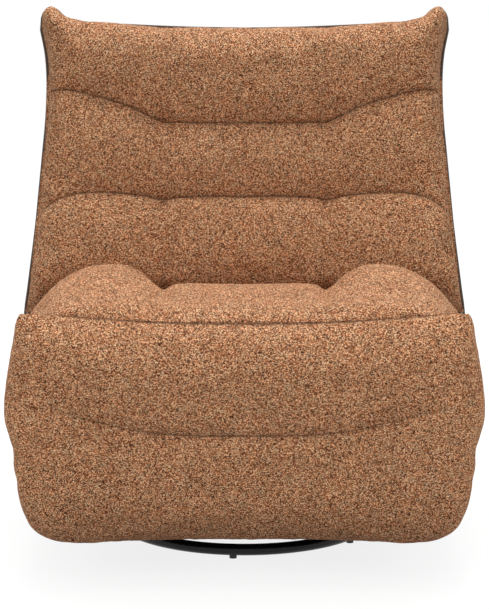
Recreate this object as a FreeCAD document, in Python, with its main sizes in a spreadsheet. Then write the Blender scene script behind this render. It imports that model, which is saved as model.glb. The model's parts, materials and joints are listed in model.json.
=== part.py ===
"""Armless swivel recliner: ring base, rocking seat, fold-out front pad and reclining rolled back.

Millimetres. The origin is on the floor under the swivel axis, +Z is up and -Y is the front.
The back is laid out in a frame of its own at the recline hinge: depth runs to the rear,
square to the back, and rise runs up along it.
"""
import FreeCAD, Part
import math
import os
from types import SimpleNamespace

import Sketcher
from FreeCAD import Placement, Rotation, Vector

SIZES = {
    # Fits and gaps
    "running_gap": 0.06,
    "fixed_gap": 0.04,
    "soft_gap": 0.3,
    "link_gap": 2,
    # Ring base
    "ring_radius": 245,
    "tube_radius": 11,
    "glide_radius": 7,
    "glide_height": 5,
    "glide_turn": -5,
    "cross_width": 40,
    "cross_thickness": 6,
    "post_radius": 14,
    "flange_radius": 42,
    "flange_thickness": 5,
    "washer_radius": 38,
    "washer_thickness": 5,
    "nut_radius": 24,
    "nut_height": 8,
    # Swivel stage
    "hub_radius": 30,
    "hub_height": 37,
    "plate_thickness": 6,
    "swivel_plate_length": 320,
    "swivel_plate_width": 220,
    "shaft_radius": 10,
    "shaft_height": 46,
    "ear_radius": 22,
    "ear_thickness": 6,
    "ear_span": 300,
    "spring_radius": 18,
    "spring_wire_radius": 3,
    "spring_length_offset": 90,
    "spring_width_offset": 82,
    # Seat chassis
    "saddle_radius": 16,
    "saddle_web": 12,
    "saddle_play": 4,
    "chassis_lift": 26,
    "chassis_length": 400,
    "chassis_width": 260,
    "cross_tube_side": 25,
    "cross_tube_wall": 2,
    "cross_tube_offset": 95,
    "bolt_radius": 4,
    "bolt_head_radius": 7,
    "bolt_head_height": 4,
    # Seat box
    "seat_half_width": 407,
    "seat_height": 484,
    "cushion_height": 111,
    "cushion_front": 398,
    "cushion_rear": 95,
    "cushion_half_width": 395,
    "panel_thickness": 26,
    "panel_bottom": 95,
    "panel_curl": 62,
    "panel_rear": 190,
    "rail_thickness": 25,
    "rail_depth": 70,
    "gauge": 4,
    "felt_thickness": 4,
    "sinuous_wire_radius": 2,
    "sinuous_width": 44,
    "sinuous_pitch": 24,
    "sinuous_spacing": 130,
    "apron_thickness": 26,
    "apron_drop": 59,
    "mechanism_bottom": 172,
    # Footrest
    "pad_bottom": 82,
    "pad_top": 492,
    "pad_depth": 95,
    "pad_half_width": 428,
    "pad_seam_height": 294,
    "pad_seam_rise": 40,
    "channel_depth": 16,
    "board_thickness": 15,
    "board_bottom": 100,
    "board_drop": 5,
    "board_half_width": 335,
    "footrest_hinge_offset": 20,
    "footrest_hinge_drop": 20,
    "link_room": 35,
    "drive_drop": 30,
    "drive_setback": 30,
    "drive_tube_radius": 9,
    "arm_drop": 140,
    "arm_lead": 17,
    "arm_inset": 26,
    "arm_width": 30,
    "link_width": 24,
    "pin_radius": 5,
    "foot_bracket_drop": 77,
    "screw_head_height": 2,
    "lever_length": 105,
    "lever_width": 22,
    "lever_thickness": 12,
    "lever_hub_radius": 17.5,
    "lever_angle": 35,
    "grip_length": 62,
    # Back
    "back_angle": 22,
    "recline_travel": 35,
    "hinge_setback": 60,
    "hinge_drop": 40,
    "hinge_pin_radius": 6,
    "hinge_head_radius": 10,
    "hinge_washer_radius": 12,
    "upright_thickness": 26,
    "upright_depth": 50,
    "upright_bottom": 40,
    "upright_top": 610,
    "top_padding_height": 29,
    "back_rail_thickness": 20,
    "back_rail_height": 70,
    "back_rail_half_width": 395,
    "back_rail_middle": 300,
    "bracket_top": 240,
    "bracket_radius": 20,
    "bracket_bolt_inset": 30,
    "webbing_depth": 8,
    "strap_width": 60,
    "strap_thickness": 2,
    "strap_first": 95,
    "strap_pitch": 110,
    "back_half_width": 420,
    "back_cushion_bottom": 62,
    "back_cushion_depth": 118,
    "back_seam_low": 279,
    "back_seam_high": 432,
    "back_seam_depth": 40,
    "back_top": 639,
    "ear_rise": 66,
    "tuft_offset": 162,
    "rear_panel_thickness": 24,
    "rear_panel_half_width": 412,
    "edge_radius": 9,
    "pad_edge_radius": 12.5,
}
GLIDE_COUNT = 6
SPRING_TURNS = 6
SINUOUS_COUNT = 5
STRAP_COUNT = 5
NUT_SIDES = 6
CROSS_TURNS = (45, 135)
SIDES = (("left", -1), ("right", 1))
# Sketches number the points of a line or circle from 1, and the origin is before their first shape
START_POINT, END_POINT, CENTRE_POINT = range(1, 4)
SKETCH_ORIGIN = -START_POINT

doc = FreeCAD.newDocument("recliner")
sheet = doc.addObject("Spreadsheet::Sheet", "Sizes")
for row, (alias, number) in enumerate(SIZES.items(), start=1):
    sheet.set(f"A{row}", alias)
    sheet.set(f"B{row}", str(number))
    sheet.setAlias(f"B{row}", alias)
doc.recompute()


class Dim:
    """A size worked out from the sheet, as a bound expression and as a number."""

    def __init__(self, text, value):
        self.text = text
        self.value = value

    def __float__(self):
        return self.value

    def __add__(self, other):
        other = dim(other)
        return Dim(f"({self.text} + {other.text})", self.value + other.value)

    def __sub__(self, other):
        other = dim(other)
        return Dim(f"({self.text} - {other.text})", self.value - other.value)

    def __mul__(self, other):
        other = dim(other)
        return Dim(f"({self.text} * {other.text})", self.value * other.value)

    def __truediv__(self, other):
        other = dim(other)
        return Dim(f"({self.text} / {other.text})", self.value / other.value)

    def __rsub__(self, other):
        return dim(other) - self

    def __neg__(self):
        return Dim(f"(0 - {self.text})", -self.value)

    __radd__ = __add__
    __rmul__ = __mul__


def dim(value):
    """A plain number as a Dim, or the Dim itself."""
    if isinstance(value, Dim):
        return value
    return Dim(repr(float(value)), float(value))


def sine(angle):
    return Dim(f"sin({angle.text})", math.sin(math.radians(angle.value)))


def cosine(angle):
    return Dim(f"cos({angle.text})", math.cos(math.radians(angle.value)))


def distance(across, up):
    return Dim(f"sqrt({across.text} ^ 2 + {up.text} ^ 2)", math.hypot(across.value, up.value))


size = SimpleNamespace(**{alias: Dim(f"Sizes.{alias}", float(sheet.get(alias))) for alias in SIZES})
pieces = []


# Helpers that make bound objects

def bind(item, **properties):
    for name, value in properties.items():
        item.setExpression(name, dim(value).text)


def place(item, x, y, z):
    for axis, value in zip("xyz", (x, y, z)):
        item.setExpression(f".Placement.Base.{axis}", dim(value).text)


def new(kind, label):
    item = doc.addObject(kind, label)
    item.Label = label
    return item


def piece(item):
    pieces.append(item)
    return item


def span(low, high, side=1):
    """The range between two distances from the middle, on the given side."""
    return (low, high) if side > 0 else (-high, -low)


def box(label, x, y, z):
    item = new("Part::Box", label)
    bind(item, Length=x[1] - x[0], Width=y[1] - y[0], Height=z[1] - z[0])
    place(item, x[0], y[0], z[0])
    return item


def rod_x(label, radius, x, y, z):
    item = new("Part::Cylinder", label)
    bind(item, Radius=radius, Height=x[1] - x[0])
    item.Placement = Placement(Vector(), Rotation(Vector(0, 1, 0), 90))
    place(item, x[0], y, z)
    return item


def rod_y(label, radius, x, y, z):
    item = new("Part::Cylinder", label)
    bind(item, Radius=radius, Height=y[1] - y[0])
    item.Placement = Placement(Vector(), Rotation(Vector(1, 0, 0), -90))
    place(item, x, y[0], z)
    return item


def rod_z(label, radius, x, y, z):
    item = new("Part::Cylinder", label)
    bind(item, Radius=radius, Height=z[1] - z[0])
    place(item, x, y, z[0])
    return item


def fuse(label, items):
    item = new("Part::MultiFuse", label)
    item.Shapes = items
    item.Refine = True
    return item


def group(label, items):
    item = new("Part::Compound", label)
    item.Links = items
    return item


def cut(label, base, tools):
    item = new("Part::Cut", label)
    item.Base = base
    item.Tool = tools[0] if len(tools) == 1 else group(f"{label}_tools", tools)
    return item


def swing(item, pivot, angle, x, depth, rise):
    """Place an item turned about an X axis at pivot, with its corner at (depth, rise) before the turn."""
    y = pivot[0] + depth * cosine(angle) - rise * sine(angle)
    z = pivot[1] + depth * sine(angle) + rise * cosine(angle)
    item.Placement = Placement(Vector(), Rotation(Vector(1, 0, 0), angle.value))
    item.setExpression(".Placement.Rotation.Angle", angle.text)
    place(item, x, y, z)
    return item


def plate(label, x, outline, bores):
    """A flat plate square to X: a padded outline of (y, z) corners with round bores (y, z, radius)."""
    body = new("PartDesign::Body", label)
    sketch = body.newObject("Sketcher::SketchObject", f"{label}_outline")
    side_plane = [plane for plane in body.Origin.OriginFeatures if plane.Role == "YZ_Plane"][0]
    sketch.AttachmentSupport = [(side_plane, "")]
    sketch.MapMode = "FlatFace"
    corners = [Vector(float(y), float(z), 0) for y, z in outline]
    for index, corner in enumerate(corners):
        sketch.addGeometry(Part.LineSegment(corner, corners[(index + 1) % len(corners)]), False)
    for index in range(len(corners)):
        after = (index + 1) % len(corners)
        joint = Sketcher.Constraint("Coincident", index, END_POINT, after, START_POINT)
        sketch.addConstraint(joint)
    for index, (y, z) in enumerate(outline):
        fix_point(sketch, index, START_POINT, y, z)
    for y, z, radius in bores:
        circle = Part.Circle(Vector(float(y), float(z), 0), Vector(0, 0, 1), float(radius))
        index = sketch.addGeometry(circle, False)
        fix_point(sketch, index, CENTRE_POINT, y, z)
        rule = sketch.addConstraint(Sketcher.Constraint("Radius", index, float(radius)))
        sketch.setExpression(f"Constraints[{rule}]", dim(radius).text)
    pad = body.newObject("PartDesign::Pad", f"{label}_pad")
    pad.Profile = sketch
    bind(pad, Length=x[1] - x[0])
    place(body, x[0], dim(0), dim(0))
    return body


def fix_point(sketch, geometry, point, y, z):
    """Hold a sketch point at (y, z); a point at the origin is joined to it."""
    if float(y) == 0 and float(z) == 0:
        sketch.addConstraint(Sketcher.Constraint("Coincident", geometry, point, SKETCH_ORIGIN, START_POINT))
        return
    for kind, value in (("DistanceX", dim(y)), ("DistanceY", dim(z))):
        ends = (SKETCH_ORIGIN, START_POINT, geometry, point)
        rule = sketch.addConstraint(Sketcher.Constraint(kind, *ends, value.value))
        sketch.setExpression(f"Constraints[{rule}]", value.text)


def strap(label, x, start, end, width, bores):
    """A flat link between two pivots, with round ends and a bore at each."""
    across = end[0] - start[0]
    up = end[1] - start[1]
    reach = distance(across, up)
    turn = Dim(f"atan2({up.text}; {across.text})", math.degrees(math.atan2(up.value, across.value)))
    thickness = x[1] - x[0]
    flat = new("Part::Box", f"{label}_flat")
    bind(flat, Length=thickness, Width=reach, Height=width)
    swing(flat, start, turn, x[0], dim(0), -width / 2)
    ends = [rod_x(f"{label}_end", width / 2, x, y, z) for y, z in (start, end)]
    holes = [rod_x(f"{label}_bore", bore, x, pivot[0], pivot[1]) for pivot, bore in zip((start, end), bores)]
    return cut(label, fuse(f"{label}_blank", [flat, *ends]), holes)


def outline_wire(start, steps, point):
    """A closed wire of lines (one corner) and arcs (a point on the way and a corner)."""
    edges = []
    here = start
    for step in steps:
        corner = step[-1]
        if len(step) == 1:
            edges.append(Part.LineSegment(point(here), point(corner)).toShape())
        else:
            edges.append(Part.Arc(point(here), point(step[0]), point(corner)).toShape())
        here = corner
    return Part.Wire(edges)


END_ROUNDNESS = 0.45


def cushion(label, half_width, stations, section):
    """A lofted cushion: one closed section at each station, a share of the half width on both sides."""
    shares = [-share for share in reversed(stations[1:])] + list(stations)
    wires = [section(share * half_width, abs(share)) for share in shares]
    item = new("Part::Feature", label)
    item.Shape = Part.makeLoft(wires, True, False)
    return item


def drawn_in(share, power):
    """How much of a full size is left at a share of the half width, falling to none at the edge."""
    return (1 - share ** power) ** END_ROUNDNESS


def dip(x, middle, width):
    """A smooth hollow at both tuft columns, 1 in its middle."""
    return math.exp(-(((abs(x) - middle) / width) ** 2))


# Levels of the base and the swivel stage
ring_middle = size.glide_height + size.tube_radius
ring_top = ring_middle + size.tube_radius
cross_top = ring_top + size.cross_thickness
flange_top = cross_top + size.flange_thickness
hub_bottom = flange_top + size.washer_thickness
hub_top = hub_bottom + size.hub_height
swivel_top = hub_top + size.plate_thickness
nut_bottom = swivel_top + size.soft_gap
post_top = nut_bottom + size.nut_height + size.bolt_head_height
rock_z = swivel_top + size.shaft_height
chassis_bottom = rock_z + size.chassis_lift
chassis_top = chassis_bottom + size.plate_thickness
tube_top = chassis_top + size.cross_tube_side

# Levels of the seat box, downwards from the seat
cushion_bottom = size.seat_height - size.cushion_height
felt_top = cushion_bottom - size.soft_gap
felt_bottom = felt_top - size.felt_thickness
sinuous_middle = felt_bottom - size.soft_gap - size.sinuous_wire_radius
rail_top = sinuous_middle - size.sinuous_wire_radius - size.soft_gap
rail_bottom = rail_top - size.rail_depth
board_top = rail_top - size.board_drop

# Distances of the side layers from the middle
rail_outer = size.seat_half_width - size.panel_thickness
rail_inner = rail_outer - size.rail_thickness
mechanism_inner = rail_inner - size.gauge
hinge_outer = mechanism_inner - size.link_gap
upright_outer = hinge_outer - size.gauge
upright_inner = upright_outer - size.upright_thickness
arm_outer = mechanism_inner - size.arm_inset
arm_inner = arm_outer - size.gauge
link_outer = arm_inner - size.link_gap
link_inner = link_outer - size.gauge
foot_outer = link_inner - size.link_gap
foot_inner = foot_outer - size.gauge

# Places along Y
pad_rear = -size.cushion_front + size.edge_radius + size.link_gap * 2
board_front = pad_rear + size.soft_gap
board_rear = board_front + size.board_thickness
front_rail_front = board_rear + size.footrest_hinge_offset + size.link_room
front_rail_rear = front_rail_front + size.rail_thickness
mechanism_front = front_rail_rear + size.bolt_head_height
drive_y = mechanism_front + size.drive_setback
drive_z = rail_bottom - size.drive_drop
foot_y = board_rear + size.footrest_hinge_offset
foot_z = rail_top - size.footrest_hinge_drop
arm_end = (drive_y - size.arm_lead, drive_z - size.arm_drop)
hinge_y = size.cushion_rear + size.hinge_setback
hinge_z = rail_top - size.hinge_drop
apron_top = hinge_z - size.apron_drop
rear_rail_rear = hinge_y - size.ear_radius * 2
rear_rail_front = rear_rail_rear - size.rail_thickness
panel_front = pad_rear + size.link_gap
apron_front = size.panel_rear - size.apron_thickness
centre = dim(0)

# Depths of the back, square to it from the hinge
webbing_front = size.webbing_depth
upright_front = webbing_front + size.strap_thickness
upright_rear = upright_front + size.upright_depth
back_rail_rear = upright_rear + size.back_rail_thickness
rear_panel_front = back_rail_rear + size.soft_gap
rear_panel_rear = rear_panel_front + size.rear_panel_thickness
cushion_back = webbing_front - size.soft_gap
hinge = (hinge_y, hinge_z)
lean = -size.back_angle


# Ring base

def glide_feet():
    feet = []
    saddle_radius = size.tube_radius + size.fixed_gap
    for index in range(GLIDE_COUNT):
        angle = size.glide_turn + 360 / GLIDE_COUNT * index
        x = size.ring_radius * sine(angle)
        y = -size.ring_radius * cosine(angle)
        stem = rod_z("glide_stem", size.glide_radius, x, y, (dim(0), ring_middle))
        saddle = new("Part::Torus", "glide_saddle")
        bind(saddle, Radius1=size.ring_radius, Radius2=saddle_radius)
        place(saddle, dim(0), dim(0), ring_middle)
        lid = new("Part::Box", "glide_lid")
        half_lid = size.glide_radius * 2
        bind(lid, Length=half_lid * 2, Width=half_lid * 2, Height=size.tube_radius)
        place(lid, x - half_lid, y - half_lid, ring_middle - size.tube_radius / 2)
        feet.append(cut("glide", stem, [saddle, lid]))
    piece(group("glide_feet", feet))


def ring_base():
    ring = piece(new("Part::Torus", "base_ring"))
    bind(ring, Radius1=size.ring_radius, Radius2=size.tube_radius)
    place(ring, dim(0), dim(0), ring_middle)
    bars = []
    for turn in CROSS_TURNS:
        bar = new("Part::Box", "cross_bar")
        bind(bar, Length=size.ring_radius * 2, Width=size.cross_width, Height=size.cross_thickness)
        angle = dim(turn)
        bar.Placement = Placement(Vector(), Rotation(Vector(0, 0, 1), turn))
        x = -size.ring_radius * cosine(angle) + size.cross_width / 2 * sine(angle)
        y = -size.ring_radius * sine(angle) - size.cross_width / 2 * cosine(angle)
        place(bar, x, y, ring_top)
        bars.append(bar)
    piece(fuse("base_spider", bars))
    flange = rod_z("post_flange", size.flange_radius, centre, centre, (cross_top, flange_top))
    shaft = rod_z("post_shaft", size.post_radius, centre, centre, (cross_top, post_top))
    piece(fuse("pivot_post", [flange, shaft]))
    bore = size.post_radius + size.running_gap
    ring_levels = (flange_top, hub_bottom)
    washer = rod_z("washer_disc", size.washer_radius, centre, centre, ring_levels)
    piece(cut("thrust_washer", washer, [rod_z("washer_bore", bore, centre, centre, ring_levels)]))
    nut_levels = (nut_bottom, nut_bottom + size.nut_height)
    nut = new("Part::Prism", "nut_blank")
    nut.Polygon = NUT_SIDES
    bind(nut, Circumradius=size.nut_radius, Height=size.nut_height)
    place(nut, dim(0), dim(0), nut_bottom)
    thread = size.post_radius + size.fixed_gap
    piece(cut("post_nut", nut, [rod_z("nut_bore", thread, centre, centre, nut_levels)]))


# Swivel stage

def swivel_stage():
    bore = size.post_radius + size.running_gap
    hub_levels = (hub_bottom, hub_top)
    hub = rod_z("hub_blank", size.hub_radius, centre, centre, hub_levels)
    piece(cut("swivel_hub", hub, [rod_z("hub_bore", bore, centre, centre, hub_levels)]))
    half_length = size.swivel_plate_length / 2
    half_width = size.swivel_plate_width / 2
    levels = (hub_top, swivel_top)
    blank = box("swivel_blank", (-half_length, half_length), (-half_width, half_width), levels)
    piece(cut("swivel_plate", blank, [rod_z("swivel_bore", bore, centre, centre, levels)]))
    ear_inner = size.ear_span / 2
    ear_outer = ear_inner + size.ear_thickness
    for name, side in SIDES:
        x = span(ear_inner, ear_outer, side)
        foot = box(f"{name}_ear_foot", x, (-size.ear_radius, size.ear_radius), (swivel_top, rock_z))
        head = rod_x(f"{name}_ear_head", size.ear_radius, x, centre, rock_z)
        bore_hole = rod_x(f"{name}_ear_bore", size.shaft_radius + size.fixed_gap, x, centre, rock_z)
        piece(cut(f"{name}_rocker_ear", fuse(f"{name}_ear_blank", [foot, head]), [bore_hole]))
    shaft_end = ear_outer + size.bolt_head_height
    piece(rod_x("rock_shaft", size.shaft_radius, (-shaft_end, shaft_end), centre, rock_z))


def round_wire(path, first, radius):
    """A round wire along a path, from the start of its first edge."""
    circle = Part.Circle(first.valueAt(first.FirstParameter), first.tangentAt(first.FirstParameter), radius)
    return path.makePipeShell([Part.Wire([circle.toShape()])], True, False)


def coil(x, y, low, high, radius, wire_radius, turns):
    """A coil spring of half turns, each an arc, and the least gap between its turns."""
    rise = (high - low) / (turns * 2)
    arcs = []
    for half in range(turns * 2):
        side = 1 if half % 2 == 0 else -1
        start = Vector(x + side * radius, y, low + half * rise)
        middle = Vector(x, y + side * radius, low + (half + 0.5) * rise)
        end = Vector(x - side * radius, y, low + (half + 1) * rise)
        arcs.append(Part.Arc(start, middle, end).toShape())
    path = Part.Wire(arcs)
    gap = rise * 2 - wire_radius * 2
    return round_wire(path, arcs[0], wire_radius), gap


def rock_springs():
    wire = float(size.spring_wire_radius)
    seat_gap = wire + float(size.soft_gap)
    low = float(swivel_top) + seat_gap
    high = float(chassis_bottom) - seat_gap
    offset_x = float(size.spring_length_offset)
    offset_y = float(size.spring_width_offset)
    coils = []
    for x in (-offset_x, offset_x):
        for y in (-offset_y, offset_y):
            shape, gap = coil(x, y, low, high, float(size.spring_radius), wire, SPRING_TURNS)
            coils.append(shape)
    print(f"rock springs: least gap between turns {gap:.2f} mm")
    item = piece(new("Part::Feature", "rock_springs"))
    item.Shape = Part.makeCompound(coils)


# Seat chassis and box

def chassis():
    ear_inner = size.ear_span / 2
    saddle_end = ear_inner - size.saddle_play
    x = (-saddle_end, saddle_end)
    sleeve = rod_x("saddle_sleeve", size.saddle_radius, x, centre, rock_z)
    half_web = size.saddle_web / 2
    web = box("saddle_web", x, (-half_web, half_web), (rock_z, chassis_bottom))
    bore = rod_x("saddle_bore", size.shaft_radius + size.running_gap, x, centre, rock_z)
    piece(cut("rock_saddle", fuse("saddle_blank", [sleeve, web]), [bore]))
    half_length = size.chassis_length / 2
    half_width = size.chassis_width / 2
    bolt_x = half_length - size.cross_tube_side
    bolt_hole = size.bolt_radius + size.fixed_gap
    tube_bolts = []
    blank = box("chassis_blank", (-half_length, half_length), (-half_width, half_width),
                (chassis_bottom, chassis_top))
    plate_holes = []
    for name, side in (("front", -1), ("rear", 1)):
        middle = size.cross_tube_offset * side
        half_side = size.cross_tube_side / 2
        y = (middle - half_side, middle + half_side)
        full = box(f"{name}_tube_outside", (-mechanism_inner, mechanism_inner), y, (chassis_top, tube_top))
        wall = size.cross_tube_wall
        hollow = box(f"{name}_tube_hollow", (-mechanism_inner, mechanism_inner),
                     (y[0] + wall, y[1] - wall), (chassis_top + wall, tube_top - wall))
        tools = [hollow]
        for x_side in (-1, 1):
            x_bolt = bolt_x * x_side
            tools.append(rod_z("tube_hole", bolt_hole, x_bolt, middle, (chassis_top, tube_top)))
            plate_holes.append(rod_z("plate_hole", bolt_hole, x_bolt, middle, (chassis_bottom, chassis_top)))
            head = rod_z("chassis_bolt_head", size.bolt_head_radius, x_bolt, middle,
                         (chassis_bottom - size.bolt_head_height, chassis_bottom))
            stem = rod_z("chassis_bolt_stem", size.bolt_radius, x_bolt, middle, (chassis_bottom, tube_top))
            tube_bolts.append(fuse("chassis_bolt", [head, stem]))
        piece(cut(f"{name}_cross_tube", full, tools))
    piece(cut("chassis_plate", blank, plate_holes))
    piece(group("chassis_bolts", tube_bolts))


def rail_bolt_places():
    """The (y, z) places of the bolts that hold a side rail to its mechanism plate."""
    height = rail_top - size.rail_depth / 2
    return [(mechanism_front + size.rail_depth, height), (rear_rail_front - size.rail_depth, height)]


def mechanism_plates():
    top = rail_top - size.gauge
    rear_foot = rear_rail_rear - size.gauge
    rear_end = hinge_y + size.ear_radius + size.edge_radius
    shelf = apron_top + size.gauge * 2
    outline = [
        (mechanism_front, size.mechanism_bottom),
        (rear_foot, size.mechanism_bottom),
        (rear_foot, shelf),
        (rear_end, shelf),
        (rear_end, top),
        (mechanism_front, top),
    ]
    hole = size.bolt_radius + size.fixed_gap
    bores = [
        (drive_y, drive_z, size.drive_tube_radius + size.running_gap),
        (hinge_y, hinge_z, size.hinge_pin_radius + size.fixed_gap),
    ]
    bores += [(y, z, hole) for y, z in rail_bolt_places()]
    bolts = []
    for name, side in SIDES:
        piece(plate(f"{name}_mechanism_plate", span(mechanism_inner, rail_inner, side), outline, bores))
        rail = box(f"{name}_rail_blank", span(rail_inner, rail_outer, side),
                   (front_rail_front, rear_rail_rear + size.edge_radius), (rail_bottom, rail_top))
        holes = []
        for y, z in rail_bolt_places():
            holes.append(rod_x("rail_hole", hole, span(rail_inner, rail_outer, side), y, z))
            head = rod_x("rail_bolt_head", size.bolt_head_radius,
                         span(mechanism_inner - size.bolt_head_height, mechanism_inner, side), y, z)
            stem = rod_x("rail_bolt_stem", size.bolt_radius, span(mechanism_inner, rail_outer, side), y, z)
            bolts.append(fuse("rail_bolt", [head, stem]))
        piece(cut(f"{name}_side_rail", rail, holes))
    piece(group("rail_bolts", bolts))


def seat_rails():
    front_y = (front_rail_front, front_rail_rear)
    rear_y = (rear_rail_front, rear_rail_rear)
    piece(box("front_rail", (-rail_inner, rail_inner), front_y, (rail_bottom, rail_top)))
    piece(box("rear_rail", (-mechanism_inner, mechanism_inner), rear_y, (rail_bottom, rail_top)))


def sinuous_path(x, start, end, z):
    """One zigzag wire: runs across X joined by round bends, a whole number of pitches long."""
    bend = float(size.sinuous_pitch) / 2
    half_run = float(size.sinuous_width) / 2 - bend
    bends = int((end - start) / (bend * 2))
    y = start + (end - start - bends * bend * 2) / 2
    edges = []
    side = 1
    here = Vector(x - half_run, y, z)
    for _ in range(bends):
        corner = Vector(x + side * half_run, y, z)
        edges.append(Part.LineSegment(here, corner).toShape())
        outer = Vector(corner.x + side * bend, y + bend, z)
        here = Vector(corner.x, y + bend * 2, z)
        slant = bend * math.sqrt(0.5)
        first = Vector(corner.x + side * slant, y + bend - slant, z)
        second = Vector(corner.x + side * slant, y + bend + slant, z)
        edges.append(Part.Arc(corner, first, outer).toShape())
        edges.append(Part.Arc(outer, second, here).toShape())
        y += bend * 2
        side = -side
    edges.append(Part.LineSegment(here, Vector(x + side * half_run, y, z)).toShape())
    return Part.Wire(edges)


def seat_springs():
    z = float(sinuous_middle)
    start = float(front_rail_front) + float(size.sinuous_wire_radius)
    end = float(rear_rail_rear) - float(size.sinuous_wire_radius)
    wires = []
    for index in range(SINUOUS_COUNT):
        x = (index - (SINUOUS_COUNT - 1) / 2) * float(size.sinuous_spacing)
        path = sinuous_path(x, start, end, z)
        wires.append(round_wire(path, path.OrderedEdges[0], float(size.sinuous_wire_radius)))
    item = piece(new("Part::Feature", "seat_springs"))
    item.Shape = Part.makeCompound(wires)
    piece(box("deck_felt", (-mechanism_inner, mechanism_inner), (front_rail_front, rear_rail_rear),
              (felt_bottom, felt_top)))


def side_panels():
    curl_middle = size.panel_bottom + size.panel_curl
    lip = size.seat_half_width - size.panel_curl
    y = (panel_front, size.panel_rear)
    top = cushion_bottom - size.soft_gap
    for name, side in SIDES:
        wall = box(f"{name}_panel_wall", span(rail_outer, size.seat_half_width, side), y, (curl_middle, top))
        outside = rod_y(f"{name}_panel_curl", size.panel_curl, lip * side, y, curl_middle)
        inner_radius = size.panel_curl - size.panel_thickness
        inside = rod_y(f"{name}_panel_hollow", inner_radius, lip * side, y, curl_middle)
        quarter = box(f"{name}_panel_quarter", span(lip, size.seat_half_width, side), y,
                      (size.panel_bottom, curl_middle))
        curl = new("Part::Common", f"{name}_panel_foot")
        curl.Base = outside
        curl.Tool = quarter
        foot = cut(f"{name}_panel_curve", curl, [inside])
        shell = fuse(f"{name}_panel_shell", [wall, foot])
        if side < 0:
            clear = size.drive_tube_radius + size.link_gap
            hole = rod_x("lever_hole", clear, (-size.seat_half_width, -rail_outer), drive_y, drive_z)
            piece(cut(f"{name}_side_panel", shell, [hole]))
        else:
            shell.Label = f"{name}_side_panel"
            piece(shell)
    apron_x = rail_outer - size.soft_gap
    skirt_x = lip - size.soft_gap
    apron_y = (apron_front, size.panel_rear)
    upper = box("apron_upper", (-apron_x, apron_x), apron_y, (curl_middle, apron_top))
    skirt = box("apron_skirt", (-skirt_x, skirt_x), apron_y, (size.panel_bottom, curl_middle))
    piece(fuse("rear_apron", [upper, skirt]))


SEAT_STATIONS = (0, 0.2, 0.41, 0.56, 0.7, 0.82, 0.91, 0.96, 0.99)
SEAT_END_POWER = 14
# Across the seat, as shares of the tuft offset
PUFF_START = 1.15
PUFF_BLEND = 0.12
TUFT_WIDTH = 0.24
# Along the seat, as shares of its length
CREST_PLACE = 0.4
CREST_SHIFT = 0.24
# Upwards, as shares of the cushion's height
SEAT_WAIST = 0.35
SEAT_CROWN = 0.09
PUFF_RISE = 0.29
PUFF_REAR_RISE = 0.09
PUFF_FRONT_RISE = 0.14
TUFT_DIP = 0.055
TUFT_REAR_DIP = 0.2
TUFT_CROWN_DIP = 0.06
SEAT_REAR_FALL = 0.4
SEAT_FRONT_FALL = 0.055
SEAT_REAR_CROWN = 0.125


def seat_section(x, share):
    """A seat section: low middle, dimples at the tuft columns and a puff outside each of them."""
    full = drawn_in(share, SEAT_END_POWER)
    front = -float(size.cushion_front)
    rear = float(size.cushion_rear)
    bottom = float(cushion_bottom)
    top = float(size.seat_height)
    tall = float(size.cushion_height)
    tuft = float(size.tuft_offset)
    edge = float(size.edge_radius)
    waist = bottom + tall * SEAT_WAIST
    puff = 1 / (1 + math.exp(-(abs(x) - tuft * PUFF_START) / (tuft * PUFF_BLEND)))
    pull = dip(x, tuft, tuft * TUFT_WIDTH)

    def lift(z):
        return waist + (z - waist) * full

    crest_y = front + (rear - front) * (CREST_PLACE + CREST_SHIFT * puff)
    crest = top + tall * (SEAT_CROWN + PUFF_RISE * puff - TUFT_DIP * pull)
    rear_top = top - tall * (SEAT_REAR_FALL + TUFT_REAR_DIP * pull)
    rear_bulge = tall * (SEAT_REAR_CROWN + PUFF_REAR_RISE * puff - TUFT_CROWN_DIP * pull)
    rear_crown = (crest + rear_top) / 2 + rear_bulge
    front_crown = (crest + top) / 2 + tall * SEAT_CROWN
    front_top = top + tall * (PUFF_FRONT_RISE * puff - SEAT_FRONT_FALL)
    start = (front + edge, lift(bottom))
    steps = [
        ((rear - edge, lift(bottom)),),
        ((rear, lift(bottom + edge)),),
        ((rear, lift(rear_top)),),
        (((rear + crest_y) / 2, lift(rear_crown)), (crest_y, lift(crest))),
        (((front + edge + crest_y) / 2, lift(front_crown)), (front + edge, lift(front_top))),
        ((front, lift(front_top - edge)),),
        ((front, lift(bottom + edge)),),
        (start,),
    ]
    return outline_wire(start, steps, lambda p: Vector(x, p[0], p[1]))


PAD_STATIONS = (0, 0.19, 0.38, 0.55, 0.7, 0.82, 0.9, 0.95, 0.98, 0.995)
PAD_THICKNESS_POWER = 10
PAD_TOP_POWER = 30
PAD_BOTTOM_POWER = 12
# Shares of the pad's height, from its bottom
PAD_MIDDLE = 0.55
PAD_SAG = 0.015
# Shares of the pad's depth, from its rear
PAD_SPINE = 0.45
PAD_NOSE = 0.62
LOWER_ROLL_SETBACK = 0.03
# The sewn channel
SEAM_SPREAD = 1.6
SEAM_POWER = 1.2
CHANNEL_LEAST = 0.75
CHANNEL_WIDTH = 0.4
CHANNEL_FADE = 0.6
CHANNEL_FADE_POWER = 4


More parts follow.
